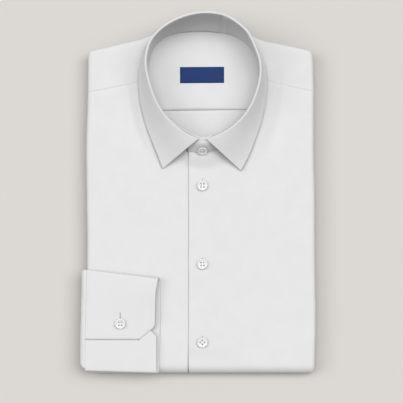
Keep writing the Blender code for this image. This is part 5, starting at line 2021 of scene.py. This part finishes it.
@dataclass
class Buttonholes:
    """Slits with dense satin stitch down both sides, a bar across each end and a grey strip of
    painted shade down the cut.
    """

    half_width: float = 0.00125
    slit_half: float = 0.00028
    strand_gap: float = 0.00042
    strand_radius: float = 0.00020
    strand_shares: tuple[float, ...] = (0.0, 0.2, 0.5, 0.8, 1.0)
    bead_height: float = 0.00018
    bead_sink: float = 0.0001
    bar_strands: int = 3
    way_reach: float = 0.0002
    shade_strip_cover: float = 1.15
    shade_strip_lift: float = 0.00005
    shade_strip_wall: float = 0.00004
    seat_gap: float = 0.0006
    front_x: float = 0.0047
    front_reach: tuple[float, float] = (0.0078, -0.0066)
    cuff_line: tuple[tuple[float, float], ...] = ((-0.0870, -0.1296), (-0.0871, -0.1458))
    collar_xs: tuple[float, float] = (-0.0025, 0.0125)
    collar_seats: int = 24

    def rows(self, cloths: dict[str, bpy.types.Object]) -> dict[str, SeatLine]:
        """Rows of seats of the buttonholes in the front, the cuff and the stand, by name.

        Args:
            cloths: The pieces that they are worked in, by name.

        Returns:
            One row for each buttonhole, from end to end.
        """
        found = {}
        for index in range(len(FRONT_BUTTON_TURNS)):
            y = FRONT_BUTTON_TOP_Y - index * FRONT_BUTTON_PITCH
            line = [(self.front_x, y + reach) for reach in self.front_reach]
            seats = seats_on_top(cloths["front_left_cloth"], line, self.seat_gap)
            found[f"front_buttonhole_{index + 1}"] = SeatLine(seats)
        seats = seats_on_top(cloths["cuff_cloth"], self.cuff_line, self.seat_gap)
        found["cuff_buttonhole"] = SeatLine(seats)
        spots = [Collar().button_seat(x)[0] for x in steps(*self.collar_xs, self.collar_seats)]
        found["collar_buttonhole"] = SeatLine(seats_near(cloths["collar_stand_cloth"], spots))
        return found

    def strand(self, mesh: bmesh.types.BMesh, seat: Seat, across: Vector, inner: float,
               outer: float) -> None:
        """One thread of the satin stitch, arched over the cloth from inner to outer."""
        line = []
        for share in self.strand_shares:
            rise = self.bead_height * sin(pi * share) - self.bead_sink
            line.append(seat.spot + across * blend(inner, outer, share) + seat.normal * rise)
        thread_tube(mesh, line, self.strand_radius, 5)

    def work(self, name: str, row: SeatLine, finishes: Finishes) -> list[bpy.types.Object]:
        """Work one buttonhole.

        Args:
            name: Its name.
            row: Its seats.
            finishes: The shirt's materials.

        Returns:
            Its bead and its strip of painted shade.
        """
        beads, slit_shade = bmesh.new(), bmesh.new()
        count = floor(row.reach[-1] / self.strand_gap)
        edges = []
        for index in range(count + 1):
            distance = index * self.strand_gap
            seat = row.seat(distance)
            ahead, behind = (row.seat(distance + way * self.way_reach).spot for way in (1, -1))
            across = (ahead - behind).normalized().cross(seat.normal).normalized()
            if index < self.bar_strands or index > count - self.bar_strands:
                self.strand(beads, seat, across, -self.half_width, self.half_width)
                continue
            for side in (-1, 1):
                self.strand(beads, seat, across, side * self.slit_half, side * self.half_width)
            # A grey strip down the open cut: painted shade.
            edges.append([slit_shade.verts.new(
                seat.spot + across * side * self.slit_half * self.shade_strip_cover
                + seat.normal * self.shade_strip_lift) for side in (-1, 1)])
        for near, far in zip(edges, edges[1:]):
            slit_shade.faces.new((near[0], near[1], far[1], far[0]))
        bmesh.ops.recalc_face_normals(slit_shade, faces=slit_shade.faces)
        return [finish_piece(f"{name}_bead", beads, finishes.thread, SlotName.POPLIN),
                finish_piece(f"{name}_slit", slit_shade, finishes.slit_shade, SlotName.POPLIN,
                             wall=self.shade_strip_wall)]

    def build(self, cloths: dict[str, bpy.types.Object],
              finishes: Finishes) -> list[bpy.types.Object]:
        """Work every buttonhole.

        Args:
            cloths: The pieces that they are worked in, by name.
            finishes: The shirt's materials.

        Returns:
            The beads and the strips of painted shade.
        """
        worked = []
        for name, row in self.rows(cloths).items():
            worked += self.work(name, row, finishes)
        return worked


@dataclass(frozen=True)
class Lamp:
    """A far soft lamp: where it stands from the shirt, how wide it looks, how strong it is."""

    name: str
    stands_at: tuple[float, float, float]
    width: float
    power: float


LAMPS = (
    Lamp("top window", (0.0, 0.23, 1.0), 45.0, 1.50),
    Lamp("left screen", (-0.93, 0.15, 1.0), 35.0, 0.79),
    Lamp("right screen", (0.62, 0.32, 1.0), 35.0, 0.95),
)


@dataclass
class Studio:
    """Pale floor, a soft window above the collar, a screen each side, camera overhead."""

    floor_tone: str = "#D9D6D1"
    camera_at: tuple[float, float, float] = (0.0035, -0.0067, 1.6)
    lens: float = 125.9
    film_width: float = 36.0
    sky: float = 0.13
    diffuse_bounces: int = 1

    def floor(self) -> bpy.types.Object:
        """Plain pale sheet that the shirt lies on."""
        mesh = bmesh.new()
        bmesh.ops.create_grid(mesh, x_segments=1, y_segments=1, size=4.0)
        data = loose_mesh("floor", mesh)
        data.materials.append(start_surface("pale paper", Roughness=0.9, Specular_IOR_Level=0.1,
                                            Base_Color=linear(self.floor_tone)))
        ground = stand_in_scene("floor", data)
        return ground

    def light(self) -> None:
        """Three soft lamps and a weak even sky, with the few bounces that the photo shows."""
        for spec in LAMPS:
            lamp = bpy.data.lights.new(spec.name, "SUN")
            lamp.angle = radians(spec.width)
            lamp.energy = spec.power
            held = stand_in_scene(spec.name, lamp)
            held.rotation_euler = (-Vector(spec.stands_at)).to_track_quat("-Z", "Y").to_euler()
        bpy.context.scene.cycles.diffuse_bounces = self.diffuse_bounces
        world = bpy.data.worlds.new("studio sky")
        world.use_nodes = True
        even = world.node_tree.nodes["Background"]
        even.inputs["Color"].default_value = linear("#FFFFFF")
        even.inputs["Strength"].default_value = self.sky
        bpy.context.scene.world = world

    def camera(self) -> None:
        """Camera that looks straight down, with the collar at the top of the picture."""
        data = bpy.data.cameras.new("overhead")
        data.lens = self.lens
        data.sensor_width = self.film_width
        eye = stand_in_scene("overhead", data)
        eye.location = self.camera_at
        bpy.context.scene.camera = eye

    def build(self) -> None:
        """Set up the floor, the light and the camera."""
        bpy.context.scene.view_settings.view_transform = "Standard"
        self.camera()
        self.light()
        self.floor()


def button_spots() -> list[ButtonSpot]:
    """Where the five buttons are sewn."""
    top_z = BUNDLE_TOP + LAP_LIFT + SEAM_GAP
    spots = []
    for index, turn in enumerate(FRONT_BUTTON_TURNS):
        y = FRONT_BUTTON_TOP_Y - index * FRONT_BUTTON_PITCH
        spots.append(ButtonSpot(f"front_button_{index + 1}", Vector((FRONT_BUTTON_X, y, top_z)),
                                UP, turn))
    cuff = CuffAndSleeve()
    foot = Vector((*CUFF_BUTTON, cuff.base_z + cuff.height(*CUFF_BUTTON) + SEAM_GAP))
    spots.append(ButtonSpot("cuff_button", foot, UP, CUFF_BUTTON_TURN))
    foot, normal = Collar().button_seat(FRONT_BUTTON_X)
    spots.append(ButtonSpot("collar_button", foot, normal, 0.0))
    return spots


def record_cuts() -> None:
    """Hide the solid that each cloth stands in place of.
    """
    for name, cut in CUTS.items():
        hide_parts(cut.solid)
        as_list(cut.rests_on)


def main() -> None:
    """Build the shirt, piece by piece, and the studio round it."""
    logging.basicConfig(level=logging.INFO, format="%(name)s %(message)s")
    finishes = Finishes.build()
    built = [HiddenLayers().build(finishes), *ShirtFronts().build(finishes),
             Yoke().build(finishes), *NeckInside().build(finishes), *Collar().build(finishes),
             *CuffAndSleeve().build(finishes)]
    cloths = {cloth.name: cloth for cloth in built}
    record_cuts()
    Topstitching().build(cloths, finishes)
    Buttonholes().build(cloths, finishes)
    Buttons().build(button_spots(), finishes)
    Studio().build()


if __name__ == "__main__":
    main()
